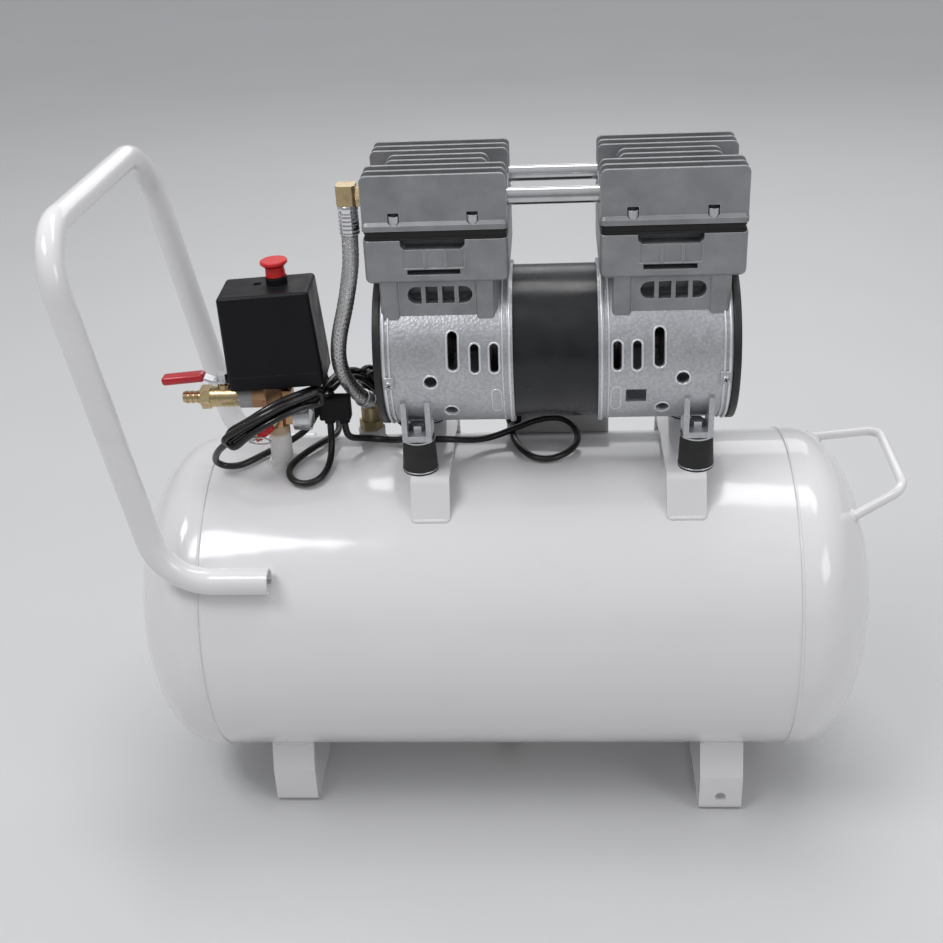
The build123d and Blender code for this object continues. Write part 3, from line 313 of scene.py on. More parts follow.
def striped_by_height(name, lower, upper, height, blend, rough_low, rough_high, metallic=0.0,
                      letter="Z"):
    """Two finishes on one solid that change at a place along one of its axes."""
    n = Nodes(name)
    normal, edges = n.rounded(0.0005)
    share = n.ramp(n.axis(letter), height - blend, height + blend)
    mottle = n.ramp(n.noise(60, 5), 0.3, 0.7, 0.86, 1.08)
    base = n.mix(share, lower, upper)
    tint = n.add("ShaderNodeHueSaturation")
    n.feed(base, tint.inputs["Color"])
    n.feed(mottle, tint.inputs["Value"])
    base = n.mix(n.math("MULTIPLY", edges, 0.25), tint.outputs[0], (0.8, 0.78, 0.75))
    gloss = n.ramp(share, 0, 1, rough_low, rough_high)
    normal = n.bump(n.noise(500, 3), 0.12, 0.0003, normal)
    return n.finish(base, gloss, normal, metallic=metallic)


def clear_plastic():
    n = Nodes("clear_plastic")
    gloss = n.ramp(n.noise(80, 3), 0.3, 0.7, 0.03, 0.10)
    normal = n.bump(n.noise(200, 2), 0.05, 0.0002)
    return n.finish((0.95, 0.97, 0.97), gloss, normal, transmission_weight=0.95)


MATERIALS = {
    "tank_white": tank_paint(),
    "bell_silver": hammered_silver(),
    "rubbed_silver": coated("rubbed_silver", (0.80, 0.81, 0.83), 0.30, 0.0003, 0.15, 700,
                            metallic=0.5),
    "head_grey": cast_grey(),
    "black_paint": stator_black(),
    "ring_black": coated("ring_black", (0.014, 0.014, 0.015), 0.42, 0.0005, 0.15, dusty=0.15,
                         worn=(0.07, 0.07, 0.07), worn_share=0.4),
    "gasket": coated("gasket_black", (0.012, 0.012, 0.012), 0.72, 0.0002, 0.5, 900),
    "dark_plate": coated("dark_plate", (0.020, 0.020, 0.020), 0.45, 0.0002, 0.2, metallic=0.4),
    "zinc_steel": metal("zinc_steel", (0.66, 0.67, 0.69), 0.30),
    "chrome": metal("chrome", (0.80, 0.81, 0.83), 0.09, brushed=(0.05, 1, 1), stain_share=0.08),
    "bright_pipe": metal("bright_pipe", (0.64, 0.64, 0.65), 0.14, brushed=(0.05, 1, 1),
                         stain=(0.36, 0.34, 0.31), stain_share=0.30),
    "brass": metal("brass", (0.60, 0.47, 0.27), 0.27, stain=(0.26, 0.17, 0.09), stain_share=0.40),
    "old_brass": metal("old_brass", (0.46, 0.38, 0.22), 0.36, stain=(0.16, 0.13, 0.07),
                       stain_share=0.5),
    "black_plastic": coated("black_plastic", (0.007, 0.0068, 0.0085), 0.42, 0.0009, 0.18, 1500,
                            worn=(0.055, 0.057, 0.065), worn_share=0.8, dusty=0.015,
                            specular_ior_level=0.2),
    "red_plastic": coated("red_plastic", (0.62, 0.012, 0.014), 0.30, 0.0007, 0.08, 700,
                          worn=(0.75, 0.10, 0.08), worn_share=0.6, dusty=0.05),
    "red_dip": coated("red_dip", (0.50, 0.008, 0.016), 0.24, 0.0008, 0.10, 300,
                      worn=(0.70, 0.08, 0.08), worn_share=0.5, coat_weight=0.4),
    "rubber_black": coated("rubber_black", (0.014, 0.014, 0.014), 0.60, 0.0008, 0.25, 800,
                           dusty=0.35),
    "cord_black": coated("cord_black", (0.006, 0.006, 0.007), 0.24, 0.0002, 0.05, 600,
                         dusty=0.03, coat_weight=0.2),
    "lead_black": coated("lead_black", (0.007, 0.007, 0.007), 0.30, 0.0002, 0.08, 600,
                         dusty=0.05),
    "wire": metal("braid_wire", (0.86, 0.86, 0.86), 0.30, 0.0001, stain=(0.42, 0.40, 0.37),
                  stain_share=0.25),
    "hose_core": coated("hose_core", (0.035, 0.035, 0.037), 0.5, 0.0002),
    "iron_core": metal("iron_core", (0.20, 0.19, 0.18), 0.45, brushed=(6, 0.3, 0.3)),
    "copper": metal("enamelled_copper", (0.55, 0.19, 0.07), 0.26, brushed=(1, 0.2, 0.2),
                    stain=(0.30, 0.07, 0.03)),
    "aluminium": metal("aluminium", (0.68, 0.69, 0.70), 0.34, brushed=(0.2, 1, 1)),
    "clear": clear_plastic(),
    # the capacitor's box is white plastic; its mid grey colour here is painted shade
    "grey_plastic": coated("grey_plastic", (0.56, 0.56, 0.55), 0.40, 0.0008, 0.15, 900,
                           dusty=0.12),
    "paper": coated("dial_face", (0.86, 0.86, 0.84), 0.55, 0.0001, 0.02),
    "riser": striped_by_height("riser_pipe", (0.80, 0.79, 0.77), (0.55, 0.42, 0.27), 0.3185,
                               0.0012, 0.26, 0.30),
    "manifold": striped_by_height("manifold", (0.42, 0.42, 0.43), (0.52, 0.31, 0.17), -0.1885,
                                  0.0008, 0.34, 0.30, metallic=1.0, letter="X"),
}

NODE_FINISH = {
    "tank_white": ["tank_shell", "tank_end_left", "tank_end_right", "foot_left", "foot_right",
                   "saddle_left", "saddle_right", "tow_handle", "side_handle"],
    "riser": ["tank_bungs"],
    "manifold": ["manifold"],
    "brass": ["drain_valve_body", "drain_valve_tap", "ball_valve_body",
              "ball_valve_ball", "hose_barb", "safety_valve_body", "elbow_fitting"],
    "old_brass": ["check_valve_body"],
    "black_paint": ["motor_shell"],
    "iron_core": ["stator_core", "rotor", "eccentrics"],
    "copper": ["stator_windings"],
    "bell_silver": ["bell_left", "bell_right"],
    "ring_black": ["end_rings"],
    "zinc_steel": ["bearings", "head_screws", "mount_bolts", "ball_valve_lever",
                   "gauge_case", "safety_valve_pull"],
    "black_plastic": ["cooling_fans", "switch_base", "switch_cover", "switch_mechanism",
                      "cord_glands", "overload_block", "gauge_needle"],
    "aluminium": ["piston_left", "piston_right"],
    "head_grey": ["cylinder_left", "cylinder_right", "head_cover_left", "head_cover_right"],
    "gasket": ["head_gaskets"],
    "dark_plate": ["valve_plates"],
    "bright_pipe": ["transfer_pipes"],
    "rubber_black": ["rubber_mounts"],
    # the capacitor box's grey is painted shade on white plastic
    "grey_plastic": ["capacitor_box"],
    "red_dip": ["lever_grip"],
    "clear": ["gauge_lens"],
    "red_plastic": ["switch_knob"],
}
for finish_name, names in NODE_FINISH.items():
    for node_name in names:
        for material_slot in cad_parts[node_name].material_slots:
            material_slot.material = MATERIALS[finish_name]

# ---------- mesh helpers


def piece(name, points, faces, finishes, body="frame", face_finish=None, smooth=True):
    """A mesh piece with its finishes, riding on a body."""
    mesh = bpy.data.meshes.new(name)
    mesh.from_pydata([tuple(p) for p in points], [], faces)
    for finish in finishes:
        mesh.materials.append(MATERIALS[finish])
    if face_finish:
        for polygon, index in zip(mesh.polygons, face_finish):
            polygon.material_index = index
    mesh.polygons.foreach_set("use_smooth", [smooth] * len(mesh.polygons))
    mesh.update()
    made = bpy.data.objects.new(name, mesh)
    SCENE.collection.objects.link(made)
    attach(made, body)
    return made


def frames_along(points, closed=False):
    """A tangent and two cross directions at each point, turned as little as possible."""
    count = len(points)
    tangents = []
    for index in range(count):
        ahead = points[(index + 1) % count] if closed else points[min(index + 1, count - 1)]
        behind = points[index - 1] if closed else points[max(index - 1, 0)]
        tangents.append((ahead - behind).normalized())
    first = tangents[0].orthogonal().normalized()
    crosses = [first]
    for before, here in zip(tangents, tangents[1:]):
        turned = before.rotation_difference(here) @ crosses[-1]
        crosses.append((turned - here * turned.dot(here)).normalized())
    return [(t, c, t.cross(c)) for t, c in zip(tangents, crosses)]


def ring_faces(rings, sides, closed=False):
    """Faces between rings of points, with flat ends unless the last ring meets the first."""
    faces = []
    for i in range(rings if closed else rings - 1):
        for k in range(sides):
            a, b = i * sides + k, i * sides + (k + 1) % sides
            c, d = ((i + 1) % rings) * sides + (k + 1) % sides, ((i + 1) % rings) * sides + k
            faces.append((a, b, c, d))
    if not closed:
        faces.append(tuple(range(sides))[::-1])
        faces.append(tuple(range((rings - 1) * sides, rings * sides)))
    return faces


def tube(points, radii, sides=12, closed=False):
    """Points and faces of a tube; radii is one number or one for each point."""
    points = [Vector(p) for p in points]
    if not hasattr(radii, "__len__"):
        radii = [radii] * len(points)
    verts = []
    for point, radius, (_, u, v) in zip(points, radii, frames_along(points, closed)):
        for k in range(sides):
            a = 2 * math.pi * k / sides
            verts.append(point + (u * math.cos(a) + v * math.sin(a)) * radius)
    return verts, ring_faces(len(points), sides, closed)


def joined(*parts):
    """Several (points, faces) as one, with the part that each face came from."""
    verts, faces, origin = [], [], []
    for index, (points, polygons) in enumerate(parts):
        start = len(verts)
        verts += list(points)
        faces += [tuple(start + v for v in face) for face in polygons]
        origin += [index] * len(polygons)
    return verts, faces, origin


def turned(profile, origin, direction, sides=40):
    """A solid of revolution; profile is (distance along, radius) pairs in millimetres."""
    origin, axis = Vector(origin), Vector(direction).normalized()
    u = axis.orthogonal().normalized()
    v = axis.cross(u)
    verts = []
    for along, radius in profile:
        middle = origin + axis * (along * MM)
        for k in range(sides):
            a = 2 * math.pi * k / sides
            verts.append(middle + (u * math.cos(a) + v * math.sin(a)) * (radius * MM))
    return verts, ring_faces(len(profile), sides)


def soft_box(centre, size, axes, bevel, steps=3):
    """A box with rounded edges, along three given directions; sizes in millimetres."""
    made = bmesh.new()
    bmesh.ops.create_cube(made, size=1)
    bmesh.ops.scale(made, vec=Vector([side * MM for side in size]), verts=made.verts)
    bmesh.ops.bevel(made, geom=made.edges[:], offset=bevel * MM, segments=steps,
                    profile=0.5, affect="EDGES")
    turn = Matrix([Vector(a).normalized() for a in axes]).transposed()
    verts = [Vector(centre) + turn @ v.co for v in made.verts]
    made.verts.index_update()
    faces = [tuple(v.index for v in f.verts) for f in made.faces]
    made.free()
    return verts, faces


def spline_curve(name, route, radius):
    """An open quadratic NURBS curve with the route as its control points, in metres."""
    data = bpy.data.curves.new(name, "CURVE")
    data.dimensions = "3D"
    line = data.splines.new("NURBS")
    line.points.add(len(route) - 1)
    for point, place in zip(line.points, route):
        point.co = (*place, 1)
    line.order_u = 3
    line.use_endpoint_u = True
    line.resolution_u = 8
    data.resolution_u = 8
    data.bevel_depth = radius
    data.bevel_resolution = 6
    data.use_fill_caps = True
    made = bpy.data.objects.new(name, data)
    SCENE.collection.objects.link(made)
    return made


def line_of(route):
    """The points that the route's NURBS curve passes through."""
    bare = spline_curve("bare", route, 0)
    mesh = bpy.data.meshes.new_from_object(bare)
    points = [v.co.copy() for v in mesh.vertices]
    bpy.data.meshes.remove(mesh)
    bpy.data.curves.remove(bare.data)
    return points


def metres(route):
    return [Vector(p) * MM for p in route]


def first_part(points, length):
    """The start of a line, up to a length."""
    kept, run = [points[0]], 0.0
    for before, here in zip(points, points[1:]):
        run += (here - before).length
        kept.append(here)
        if run > length:
            break
    return kept


def resampled(points, step):
    """The same line with evenly spaced points."""
    marks, out, run = [0.0], [], 0.0
    for before, here in zip(points, points[1:]):
        run += (here - before).length
        marks.append(run)
    count = max(2, int(run / step) + 1)
    at = 0
    for k in range(count):
        want = run * k / (count - 1)
        while at < len(marks) - 2 and marks[at + 1] < want:
            at += 1
        span = marks[at + 1] - marks[at] or 1.0
        out.append(points[at].lerp(points[at + 1], (want - marks[at]) / span))
    return out


# ---------- cords
CORD_D = 5.4 * MM

POWER_ROUTE = metres([
    (-143.0, 8.0, 346.0), (-143.0, 8.0, 334.0), (-146.0, 8.3, 321.0), (-153.5, 8.6, 309.5),
    (-164.0, 8.5, 301.5), (-174.0, 5.0, 297.3), (-183.0, -4.0, 296.4), (-192.5, -15.5, 295.8),
    (-203.5, -25.0, 294.2), (-216.0, -27.5, 295.2), (-222.0, -31.0, 302.0),
    (-217.0, -39.5, 313.5), (-209.0, -46.5, 323.0)])

# the middle of the folded cord: hank, narrow part, and bundle behind the motor
SPINE = metres([
    (-201.0, -50.0, 329.5), (-187.7, -51.0, 339.3), (-173.0, -49.5, 347.7),
    (-158.5, -43.0, 353.5), (-145.0, -33.0, 355.0), (-135.0, -22.5, 354.5),
    (-130.0, -10.0, 353.6), (-127.5, 6.0, 352.8), (-122.5, 22.0, 350.5),
    (-114.5, 35.0, 345.5), (-107.0, 44.5, 339.5), (-99.0, 52.0, 327.0),
    (-91.5, 58.0, 310.0), (-83.0, 62.0, 294.0)])
HANK_END, BUNDLE_START, LAST = 5, 10, 13

LEAD_IN_ROUTE = metres([
    (-152.0, 32.0, 366.0), (-152.0, 43.0, 366.0), (-151.0, 54.5, 359.5), (-148.0, 60.5, 344.5),
    (-142.5, 58.5, 325.0), (-137.5, 54.0, 308.0), (-133.5, 44.0, 294.5), (-134.0, 29.0, 293.8),
    (-141.0, 12.5, 296.6), (-151.0, -5.0, 297.0), (-159.5, -19.0, 295.6),
    (-164.3, -31.0, 293.4), (-160.5, -42.5, 290.3), (-149.5, -47.8, 288.6),
    (-138.0, -43.5, 290.2), (-132.6, -31.5, 293.9), (-131.2, -18.5, 299.0),
    (-131.4, -9.0, 309.5), (-131.5, -7.5, 323.0)])

LEAD_OUT_ROUTE = metres([
    (-120.0, -7.5, 323.0), (-120.0, -7.0, 313.5), (-117.5, 0.5, 304.5), (-109.0, 10.5, 299.5),
    (-97.0, 13.0, 296.9), (-83.0, 6.5, 298.6), (-70.5, -6.0, 305.8), (-55.5, -13.0, 309.0),
    (-40.5, -13.0, 309.0), (-27.0, -6.0, 304.5), (-14.0, 3.0, 299.8), (0.0, 11.0, 299.4),
    (16.0, 19.0, 302.8), (33.5, 25.0, 307.0), (50.5, 25.5, 308.0), (62.0, 16.0, 304.5),
    (65.0, 2.0, 299.6), (58.5, -12.0, 296.8), (45.5, -22.5, 295.0), (31.0, -22.5, 295.0),
    (20.0, -11.0, 296.7), (13.5, 5.0, 297.8), (11.0, 21.0, 298.0), (11.5, 35.0, 299.5),
    (12.0, 44.0, 300.5)])

PLUG_AT = Vector((-84.0, 76.7, 280.6)) * MM
PLUG_DIR = Vector((0.35, 0.667, -0.658)).normalized()

# where each strand lies in the cord's cross-section, in millimetres across and up
HANK_SLOTS = [(0, 0), (3.8, 3.8), (-3.8, -3.8), (-3.8, 3.8), (3.8, -3.8)]
BRIDGE_SLOTS = [(0, 3.1), (-2.7, -1.6), (2.7, -1.6)]
BUNDLE_SLOTS = [(7.0 * math.cos(math.radians(135 * k)), 7.0 * math.sin(math.radians(135 * k)))
                for k in range(8)] + [(0, 0)]
# each pass of the cord: first and last point of the spine, and its slot in each section
PASSES = [
    (0, LAST, 0, 0, 0), (LAST, BUNDLE_START, None, None, 1), (BUNDLE_START, LAST, None, None, 2),
    (LAST, BUNDLE_START, None, None, 3), (BUNDLE_START, LAST, None, None, 4),
    (LAST, BUNDLE_START, None, None, 5), (BUNDLE_START, LAST, None, None, 6),
    (LAST, 0, 1, 1, 7), (0, HANK_END, 2, None, None), (HANK_END, 0, 3, None, None),
    (0, LAST, 4, 2, 8)]
TIE_W = 3.2 * MM
# how far each fold of the cord stands out past the others, in millimetres
TIP_REACH = [0, 3.0, -4.0, 2.0, -2.5, 4.0, -1.0, 3.0, -3.5, 4.5, 2.0]


def folded_cord():
    """Control points of the whole power cord: its route, then each pass of the hank."""
    directions = [t for t, _, _ in frames_along(SPINE)]
    route = [POWER_ROUTE[0] + Vector((0, 0, 4 * MM)), *POWER_ROUTE]
    for number, (first, last, hank, bridge, bundle) in enumerate(PASSES):
        step = 1 if last > first else -1
        for index in range(first, last + step, step):
            along = directions[index]
            up = (Vector((0, 0, 1)) - along * along.z).normalized()
            side = up.cross(along)
            if index <= HANK_END:
                across, high = HANK_SLOTS[hank]
            elif index < BUNDLE_START:
                across, high = BRIDGE_SLOTS[bridge]
            else:
                across, high = BUNDLE_SLOTS[bundle]
            fold = index in (first, last) and not (number == 0 and index == 0)
            reach = 0.0
            if fold:
                spread = 1.55 if index in (0, HANK_END) else 1.25
                across, high = across * spread, high * spread
                outward = 1 if index in (HANK_END, LAST) else -1
                turn = number if index == last else number - 1
                reach = outward * TIP_REACH[turn % len(TIP_REACH)]
            route.append(SPINE[index] + (side * across + up * high + along * reach) * MM)
    tail = Vector((-83.5, 70.5, 287.0)) * MM
    return [*route, tail, PLUG_AT, PLUG_AT + PLUG_DIR * 6 * MM]


def ribbed_sleeve(name, line, r0, r1, ribs):
    """A tapered strain relief with grooves, around the start of a cord's line."""
    points = resampled(line, 0.6 * MM)
    count = len(points)
    radii = []
    for index in range(count):
        share = index / (count - 1)
        groove = 0.55 * MM if (share * ribs) % 1.0 > 0.62 and 0.06 < share < 0.97 else 0.0
        radii.append(r0 + (r1 - r0) * share - groove)
    verts, faces = tube(points, radii, 24)
    return piece(name, verts, faces, ["black_plastic"])


def moulded_plug():
    """Two-pin plug: ribbed neck, waisted body and round pins."""
    u = Vector((0, -0.55, -0.83))
    u = (u - PLUG_DIR * u.dot(PLUG_DIR)).normalized()
    u, v = PLUG_DIR.cross(u).cross(PLUG_DIR).normalized(), PLUG_DIR.cross(u).normalized()
    neck = []
    for k in range(29):
        share = k / 28
        groove = 0.6 if k % 6 > 3 and k < 25 else 0.0
        neck.append((-6 + 22 * share, 3.6 + 1.7 * share - groove))
    body_points = []
    sides, rows = 36, []
    for share in [0, 0.02, 0.06, 0.14, 0.3, 0.5, 0.7, 0.86, 0.95, 0.985, 1.0]:
        end = min(share / 0.14, 1.0)
        lead = min((1 - share) / 0.05, 1.0)
        ease = math.sin(end * math.pi / 2) * (0.86 + 0.14 * math.sin(lead * math.pi / 2))
        waist = 1 - 0.07 * math.sin(math.pi * share)
        rows.append((share, (5.6 + 6.4 * ease) * waist, (4.2 + 2.3 * ease) * waist))
    for share, wide, thick in rows:
        middle = PLUG_AT + PLUG_DIR * (14 + 24 * share) * MM
        for k in range(sides):
            a = 2 * math.pi * k / sides
            c, s = math.cos(a), math.sin(a)
            x = wide * math.copysign(abs(c) ** 0.7, c)
            y = thick * math.copysign(abs(s) ** 0.7, s)
            body_points.append(middle + (u * x + v * y) * MM)
    body = (body_points, ring_faces(len(rows), sides))
    parts = [turned(neck, PLUG_AT, PLUG_DIR, 28), body]
    for across in (-9.5, 9.5):
        start = PLUG_AT + PLUG_DIR * 37 * MM + u * across * MM
        pin = [(0, 2.3), (9, 2.3), (9.2, 2.0), (18, 2.0), (18.8, 1.2)]
        parts.append(turned(pin, start, PLUG_DIR, 20))
    verts, faces, origin = joined(*parts)
    made = piece("plug_moulding", verts, faces, ["black_plastic", "zinc_steel"], "frame",
                 [0 if part < 2 else 1 for part in origin])
    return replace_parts(made, "plug")


def twist_tie(name, at, along, half):
    """A flat tie around the bundle with its twisted tails."""
    along = along.normalized()
    up = (Vector((0, 0, 1)) - along * along.z).normalized()
    side = up.cross(along)
    ring, faces, verts = 36, [], []
    for k in range(ring):
        a = 2 * math.pi * k / ring
        lump = 1 + 0.035 * math.cos(5 * a)
        out = side * math.cos(a) * half * lump + up * math.sin(a) * half * lump
        outward = out.normalized()
        for shift, lift in ((-0.5, 0), (-0.5, 0.9), (0.5, 0.9), (0.5, 0)):
            verts.append(at + out + along * shift * TIE_W + outward * lift * MM)
    for k in range(ring):
        for j in range(4):
            a, b = k * 4 + j, k * 4 + (j + 1) % 4
            c, d = ((k + 1) % ring) * 4 + (j + 1) % 4, ((k + 1) % ring) * 4 + j
            faces.append((a, b, c, d))
    start = at + side * half
    tails = []
    for sign in (-1, 1):
        points = []
        for k in range(13):
            share = k / 12
            a = share * 4 * math.pi + (0 if sign > 0 else math.pi)
            points.append(start + side * share * 6 * MM + along * sign * share * 2.4 * MM
                          + (up * math.cos(a) + along * math.sin(a)) * 0.8 * MM)
        tails.append(tube(points, 0.7 * MM, 8))
    verts, faces, _ = joined((verts, faces), *tails)
    return piece(name, verts, faces, ["rubber_black"])


power_points = folded_cord()
power_cord = spline_curve("mains_cord", power_points, CORD_D / 2)
power_cord.data.materials.append(MATERIALS["cord_black"])
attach(power_cord, "frame")
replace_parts(power_cord, "power_cord", "power_cord_hank")
power_line = line_of(power_points)
power_relief = ribbed_sleeve("mains_cord_relief", first_part(power_line, 0.028), 4.3 * MM,
                             3.3 * MM, 7)
plug_piece = moulded_plug()
tie = twist_tie("cord_tie", SPINE[11] + Vector((1, 1, 1.5)) * MM,
                SPINE[12] - SPINE[10], 10.4 * MM)

lead_in = spline_curve("cutout_lead", LEAD_IN_ROUTE, CORD_D / 2)
lead_out = spline_curve("motor_lead", LEAD_OUT_ROUTE, CORD_D / 2)
for lead, node_name in ((lead_in, "lead_to_cutout"), (lead_out, "lead_to_motor")):
    lead.data.materials.append(MATERIALS["lead_black"])
    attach(lead, "frame")
    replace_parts(lead, node_name)
in_relief = ribbed_sleeve("cutout_lead_relief", first_part(line_of(LEAD_IN_ROUTE), 0.022),
                          4.1 * MM, 3.2 * MM, 6)

# ---------- braided hose
HOSE_ROUTE = metres([
    (-99.0, -28.8, 505.5), (-99.0, -28.8, 470.0), (-102.5, -28.5, 449.0),
    (-108.0, -26.0, 426.0), (-115.5, -20.0, 402.0), (-119.4, -12.0, 380.5),
    (-118.8, -2.5, 362.0), (-114.6, 6.5, 347.0), (-109.0, 13.5, 335.0), (-104.3, 22.5, 327.5)])
HOSE_R = 6.0 * MM
CARRIERS = 14           # ribbons of wire that wind each way
BRAID_PITCH = 30 * MM
WIRES = 5               # wires side by side in a ribbon


def braided_hose():
    """Rubber core under two sets of woven wire ribbons."""
    line = resampled(line_of(HOSE_ROUTE), 0.55 * MM)
    axes = frames_along(line)
    step = (line[1] - line[0]).length
    parts = [tube(line, HOSE_R - 0.75 * MM, 20)]
    width = 2 * math.pi * HOSE_R / CARRIERS * 0.74
    for way in (1, -1):
        for carrier in range(CARRIERS):
            verts, faces = [], []
            for index, (point, (_, u, v)) in enumerate(zip(line, axes)):
                run = index * step
                middle = 2 * math.pi * (carrier / CARRIERS + way * run / BRAID_PITCH)
                weave = math.cos(2 * math.pi * CARRIERS * run / BRAID_PITCH
                                 + math.pi * carrier)
                lift = HOSE_R + (-0.25 + 0.24 * way * weave) * MM
                for w in range(2 * WIRES + 1):
                    a = middle + (w / (2 * WIRES) - 0.5) * width / HOSE_R
                    r = lift + (0.0 if w % 2 == 0 else 0.17 * MM)
                    verts.append(point + (u * math.cos(a) + v * math.sin(a)) * r)
            row = 2 * WIRES + 1
            for i in range(len(line) - 1):
                for w in range(row - 1):
                    a = i * row + w
                    face = (a, a + 1, a + row + 1, a + row)
                    faces.append(face if way > 0 else face[::-1])
            parts.append((verts, faces))
    verts, faces, origin = joined(*parts)
    made = piece("hose_braid", verts, faces, ["hose_core", "wire"], "frame",
                 [0 if part == 0 else 1 for part in origin])
    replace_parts(made, "braided_hose")


def ferrule(name, at, along, length, finish):
    """A crimped sleeve over the end of the hose."""
    rows = [(0.0, 5.0), (0.0, 7.0), (0.6, 7.5), (4.2, 7.5), (4.8, 6.9), (5.4, 6.9), (6.0, 7.4)]
    ring = 6.5
    while ring < length - 3:
        rows += [(ring, 7.4), (ring + 0.5, 7.1), (ring + 1.3, 7.1), (ring + 1.8, 7.4)]
        ring += 3.0
    rows += [(length - 0.8, 7.4), (length, 7.0), (length, 5.6)]
    verts, faces = turned(rows, at, along, 44)
    piece(name, verts, faces, [finish])


braided_hose()
ferrule("hose_ferrule_top", HOSE_ROUTE[0], HOSE_ROUTE[1] - HOSE_ROUTE[0], 22.0, "chrome")
ferrule("hose_ferrule_end", HOSE_ROUTE[-1], HOSE_ROUTE[-2] - HOSE_ROUTE[-1], 10.0, "zinc_steel")

# ---------- motor details
MOTOR_X = 47.4 * MM
MOTOR_Z = 386 * MM
BELL_R = 60 * MM
LIP_ARC = 14            # steps round a slot's end and along its side
LIP_SIDE = 8
SIDE_NAME = {-1: "left", 1: "right"}


def on_bell(x, z, lift=0.0, back=False):
    """The point of the bell's skin at a place along it and a height above its axis."""
    y = math.sqrt(max(BELL_R ** 2 - z ** 2, 0.0))
    out = Vector((0, y if back else -y, z)).normalized()
    return Vector((MOTOR_X + x, 0, MOTOR_Z)) + out * (BELL_R + lift)


def obround_lip(x, z0, z1, half, lift=0.3 * MM, thick=0.8 * MM, back=False):
    """A raised rim round a slot with half-round ends, that follows the bell's skin."""
    outline = []
    for near, far, way in ((z1 - half, z0 + half, -1), (z0 + half, z1 - half, 1)):
        for k in range(LIP_ARC + 1):
            a = math.pi * (k / LIP_ARC + (way > 0))
            outline.append((x + half * math.cos(a), near + half * math.sin(a)))
        for k in range(1, LIP_SIDE):
            outline.append((x + way * half, near + (far - near) * k / LIP_SIDE))
    return tube([on_bell(px, pz, lift, back) for px, pz in outline], thick, 8, closed=True)


def hoop(centre, radius, thick, count):
    """A round ring about an axis along X; radius and thickness in millimetres."""
    points = []
    for k in range(count):
        a = 2 * math.pi * k / count
        points.append(Vector(centre) + Vector((0, math.cos(a), math.sin(a))) * radius * MM)
    return tube(points, thick * MM, 8, closed=True)


def bell_details(side):
    """Rims round the vents and holes, the blank raised outlines and the turned bands."""
    parts = []
    for x, low_a, high_a, width in ((74.8, 2, 30, 7), (58.8, 0, 21, 6), (44.6, 0, 21, 6)):
        z0, z1 = (BELL_R * math.sin(math.radians(a)) for a in (low_a, high_a))
        for back in (False, True):
            parts.append(obround_lip(side * x * MM, z0 - 0.5 * MM, z1 + 0.5 * MM,
                                     (width / 2 + 0.9) * MM, back=back))
    for x, drop in ((91.9, 6.5), (78.2, 35.0)):
        z = -BELL_R * math.sin(math.radians(drop))
        parts.append(obround_lip(side * x * MM, z - 5.4 * MM, z + 5.4 * MM, 5.4 * MM))
    parts.append(obround_lip(side * 43.8 * MM, -36 * MM, -14 * MM, 3.6 * MM, 0, 0.55 * MM))
    for x, radius, thick in ((33.4, 61.2, 0.9), (38.5, 60.3, 0.6), (121.6, 60.5, 0.8),
                             (125.4, 60.9, 1.1)):
        parts.append(hoop((MOTOR_X + side * x * MM, 0, MOTOR_Z), radius, thick, 120))
    verts, faces, _ = joined(*parts)
    piece(f"bell_trim_{SIDE_NAME[side]}", verts, faces, ["rubbed_silver"])


def guard_lug(side):
    """Small cast lug with the screw that holds the end guard."""
    out = Vector((0, -1, -0.11)).normalized()
    up = Vector((0, -0.11, 1)).normalized()
    at = Vector((MOTOR_X + side * 122.5 * MM, 0, MOTOR_Z)) + out * (BELL_R + 0.6 * MM)
    lug = soft_box(at, (8, 10, 3.6), (Vector((1, 0, 0)), up, out), 1.1)
    head = turned([(0, 2.9), (1.2, 2.9), (1.8, 2.2), (1.9, 0.3)],
                  at + out * 1.6 * MM - up * 1.0 * MM, out, 24)
    bars = []
    for a in (0.4, 0.4 + math.pi / 2):
        along = Vector((1, 0, 0)) * math.cos(a) + up * math.sin(a)
        bars.append(soft_box(at + out * 3.4 * MM - up * 1.0 * MM, (3.8, 0.8, 0.5),
                             (along, out.cross(along), out), 0.1, 1))
    verts, faces, origin = joined(lug, head, *bars)
    piece(f"guard_screw_{SIDE_NAME[side]}", verts, faces,
          ["bell_silver", "zinc_steel", "black_plastic"], "frame",
          [min(part, 2) for part in origin])


for end in (-1, 1):
    bell_details(end)
    guard_lug(end)

# ---------- welds
TANK_R = 130 * MM
TANK_MID = Vector((0, 0, 162.5)) * MM
SEAM_X = 228 * MM
END_R = 130.8 * MM
END_DEPTH = 60 * MM
END_SKIRT = 10 * MM     # straight part of the end, before its dome
STRAP_T = 2.2 * MM
FOOT_X = 178 * MM
SADDLE_X = 97 * MM
WELD_STEPS = 48
RING_BEAD = 1.5 * MM
DICE = random.Random(7)


def bead(points, radius):
    """A weld bead: a tube whose thickness ripples from one pool to the next."""
    points = resampled([Vector(p) for p in points], radius * 0.45)
    radii = []
    for index in range(len(points)):
        ripple = 0.10 * math.sin(index * 1.9) + DICE.uniform(-0.05, 0.05)
        end = min(1.0, 0.45 + 0.2 * min(index, len(points) - 1 - index))
        radii.append(radius * (1 + ripple) * end)
    return tube(points, radii, 8)


def tank_gap(point):
    """Distance from the tank's skin, positive outside it."""
    x = abs(point.x)
    off = math.hypot(point.y, point.z - TANK_MID.z)
    dome = x - SEAM_X - END_SKIRT
    if dome <= 0:
        return off - (TANK_R if x < SEAM_X else END_R)
    return (math.hypot(off / END_R, dome / END_DEPTH) - 1) * END_DEPTH


def where_it_meets(start, direction, reach):
    """The first point along a line where it goes into the tank."""
    near, far = 0.0, reach
    for _ in range(40):
        middle = (near + far) / 2
        if tank_gap(start + direction * middle) > 0:
            near = middle
        else:
            far = middle
    return start + direction * far


